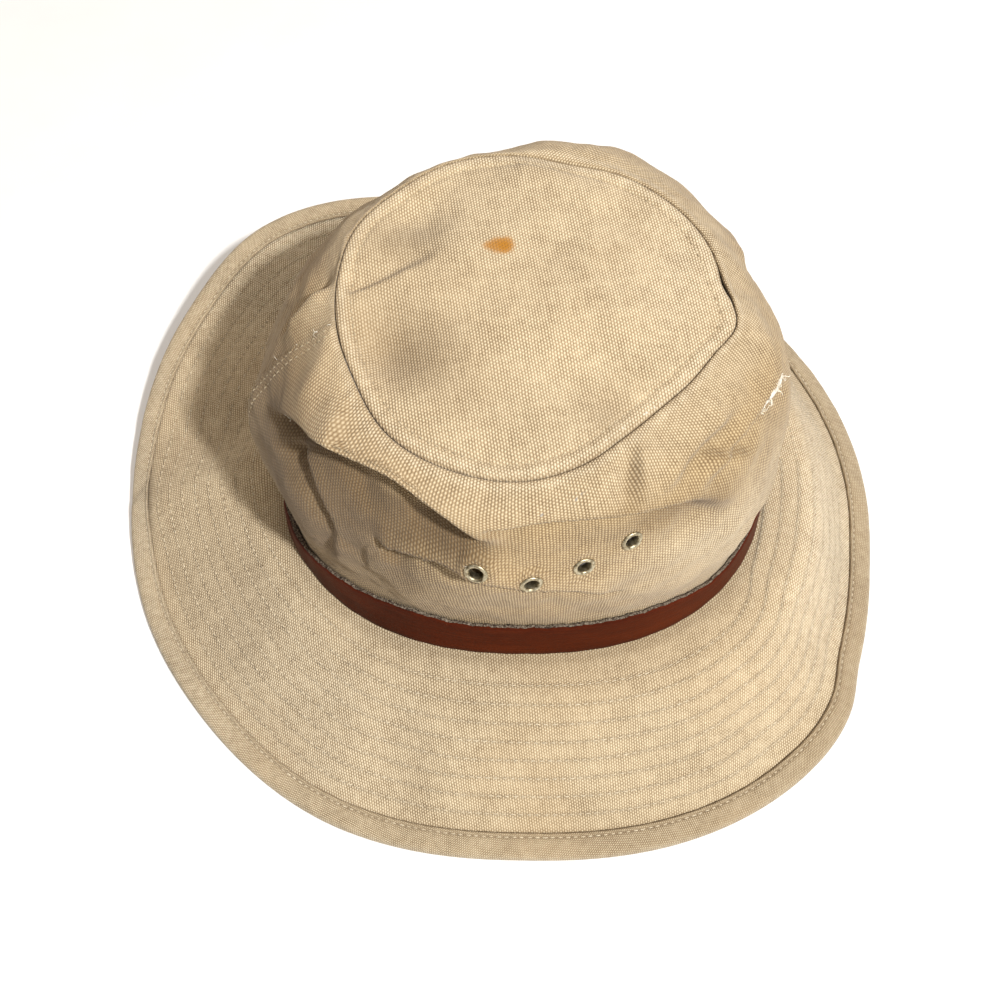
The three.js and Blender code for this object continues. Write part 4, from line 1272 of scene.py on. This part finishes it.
# ---- putting the hat together
side_canvas = canvas_material("canvas_side", marks=True)
tip_canvas = canvas_material("canvas_tip", tint=1.03, stain=True)
brim_canvas = canvas_material("canvas_brim", rows=True)
tape_canvas = canvas_material("canvas_tape", tint=0.93, tape=True)
leather = leather_material()
brass = brass_material()
brim_thread = thread_material("thread_brim", (0.36, 0.28, 0.175), (0.70, 0.61, 0.45))
crown_thread = thread_material("thread_crown", (0.28, 0.21, 0.125), (0.54, 0.45, 0.30))
fibre = thread_material("fibre_white", (0.62, 0.54, 0.40), (0.90, 0.86, 0.76))


def place_piece(obj, slot_name, *nodes):
    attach(obj, "root")
    if nodes:
        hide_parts(*nodes)


place_piece(build_side(side_canvas), "crown_side", "crown_side")
place_piece(build_tip(tip_canvas), "crown_tip", "crown_tip")
place_piece(build_brim(brim_canvas), "brim", "brim")
place_piece(build_binding(tape_canvas), "brim_binding", "brim_binding")
place_piece(build_band(leather), "hat_band", "hat_band")
for name in EYELETS:
    place_piece(build_eyelet(name, brass), "eyelets", name)

for face, label in ((1, "top"), (-1, "under")):
    rows = [stitches_along(brim_row(ROW_PITCH * k, face), 0, 360, 31 + k) for k in range(1, ROWS + 1)]
    place_piece(build_stitches("brim_stitches_" + label, rows, brim_thread, sides=5), "brim")
    tape_line = stitches_along(tape_row(face), 0, 360, 51, **CLOSE_STITCHING)
    place_piece(build_stitches("tape_stitches_" + label, [tape_line], brim_thread), "brim_binding")

tip_line = stitches_along(tip_row, 0, 360, 61, **CLOSE_STITCHING)
place_piece(build_stitches("tip_stitches", [tip_line], crown_thread), "crown_tip")
back_lines = [stitches_along(back_row(across), 24, 113, seed, **CLOSE_STITCHING)
              for seed, across in enumerate(BACK_ROWS, 71)]
place_piece(build_stitches("back_seam_stitches", back_lines, crown_thread), "crown_side")

scuffed = side_places([(335.5, 85.5, 6), (339, 85.8, 7), (343, 84.5, 7), (347.5, 83.8, 6)], 81, 1.0)
place_piece(build_fibres("scuff_fibres", scuffed, fibre, 82, thick=0.30, reach=(0.9, 2.4)), "crown_side")
frayed = side_places([(188, 114, 1), (188.5, 105, 2), (188, 92, 1), (188, 78, 1), (204, 86.5, 2),
                      (256.5, 76, 3)], 83, 0.5)
place_piece(build_fibres("seam_fibres", frayed, fibre, 84, thick=0.17, reach=(1.2, 2.8)), "crown_side")


# ---- floor, light and camera
def make_floor():
    size, steps = 3.0, 24
    grid = np.linspace(-size, size, steps + 1)
    x, y = np.meshgrid(grid, grid, indexing="ij")
    points = np.stack([x, y, np.full_like(x, -0.0001)], -1).reshape(-1, 3)
    i, j = np.meshgrid(np.arange(steps), np.arange(steps), indexing="ij")
    a = (i * (steps + 1) + j).ravel()
    faces = np.stack([a, a + steps + 1, a + steps + 2, a + 1], -1)
    mesh = bpy.data.meshes.new("floor")
    mesh.from_pydata(points.tolist(), [], faces.tolist())
    floor = add_object("floor", mesh)
    n = Nodes("floor_paper")
    tooth = n.noise(n.place(), 30.0)
    n.shader.inputs["Emission Color"].default_value = (1.0, 1.0, 1.0, 1.0)
    n.shader.inputs["Emission Strength"].default_value = 0.12
    paper = n.ramp(tooth, [(0.3, (0.76, 0.76, 0.76)), (0.7, (0.78, 0.78, 0.78))])
    mesh.materials.append(n.finish(paper, 0.95, specular_ior_level=0.1))


def make_light(name, azimuth, elevation, reach, size, power, colour):
    """Round lamp that faces the hat from an azimuth and elevation, reach metres away."""
    data = bpy.data.lights.new(name, "AREA")
    data.shape = "DISK"
    data.size = size
    data.energy = power
    data.color = colour
    light = add_object(name, data)
    a, e = math.radians(azimuth), math.radians(elevation)
    direction = np.array([math.cos(a) * math.cos(e), math.sin(a) * math.cos(e), math.sin(e)])
    light.location = direction * reach + np.array([0, 0, 0.05])
    light.rotation_mode = "QUATERNION"
    light.rotation_quaternion = Vector(-direction).to_track_quat("-Z", "Y")


def make_world():
    world = bpy.data.worlds.new("studio")
    bpy.context.scene.world = world
    world.use_nodes = True
    nodes, links = world.node_tree.nodes, world.node_tree.links
    background = nodes["Background"]
    around_hat = nodes.new("ShaderNodeTexCoord")
    split = nodes.new("ShaderNodeSeparateXYZ")
    ramp = nodes.new("ShaderNodeValToRGB")
    links.new(around_hat.outputs["Generated"], split.inputs[0])
    links.new(split.outputs[2], ramp.inputs[0])
    links.new(ramp.outputs[0], background.inputs[0])
    ramp.color_ramp.elements[0].color = (0.06, 0.058, 0.055, 1.0)
    ramp.color_ramp.elements[1].color = (1.0, 0.90, 0.80, 1.0)
    background.inputs[1].default_value = 0.50


def make_camera():
    data = bpy.data.cameras.new("camera")
    data.lens = 39.1
    data.sensor_width = 36.0
    camera = add_object("camera", data)
    # above the wearer's right, fitted to the hat's outline in the photo
    camera.location = (SHIFT[0] - 0.009, SHIFT[1] - 0.230, 0.398)
    camera.rotation_euler = (math.radians(30), 0, 0)
    bpy.context.scene.camera = camera


make_floor()
make_world()
make_light("key", -51.5, 51, 1.6, 0.11, 34.0, (1.0, 0.99, 0.975))
make_light("fill", 110, 64, 1.5, 1.1, 6.0, (1.0, 0.87, 0.74))
make_camera()
bpy.context.scene.view_settings.view_transform = "Standard"
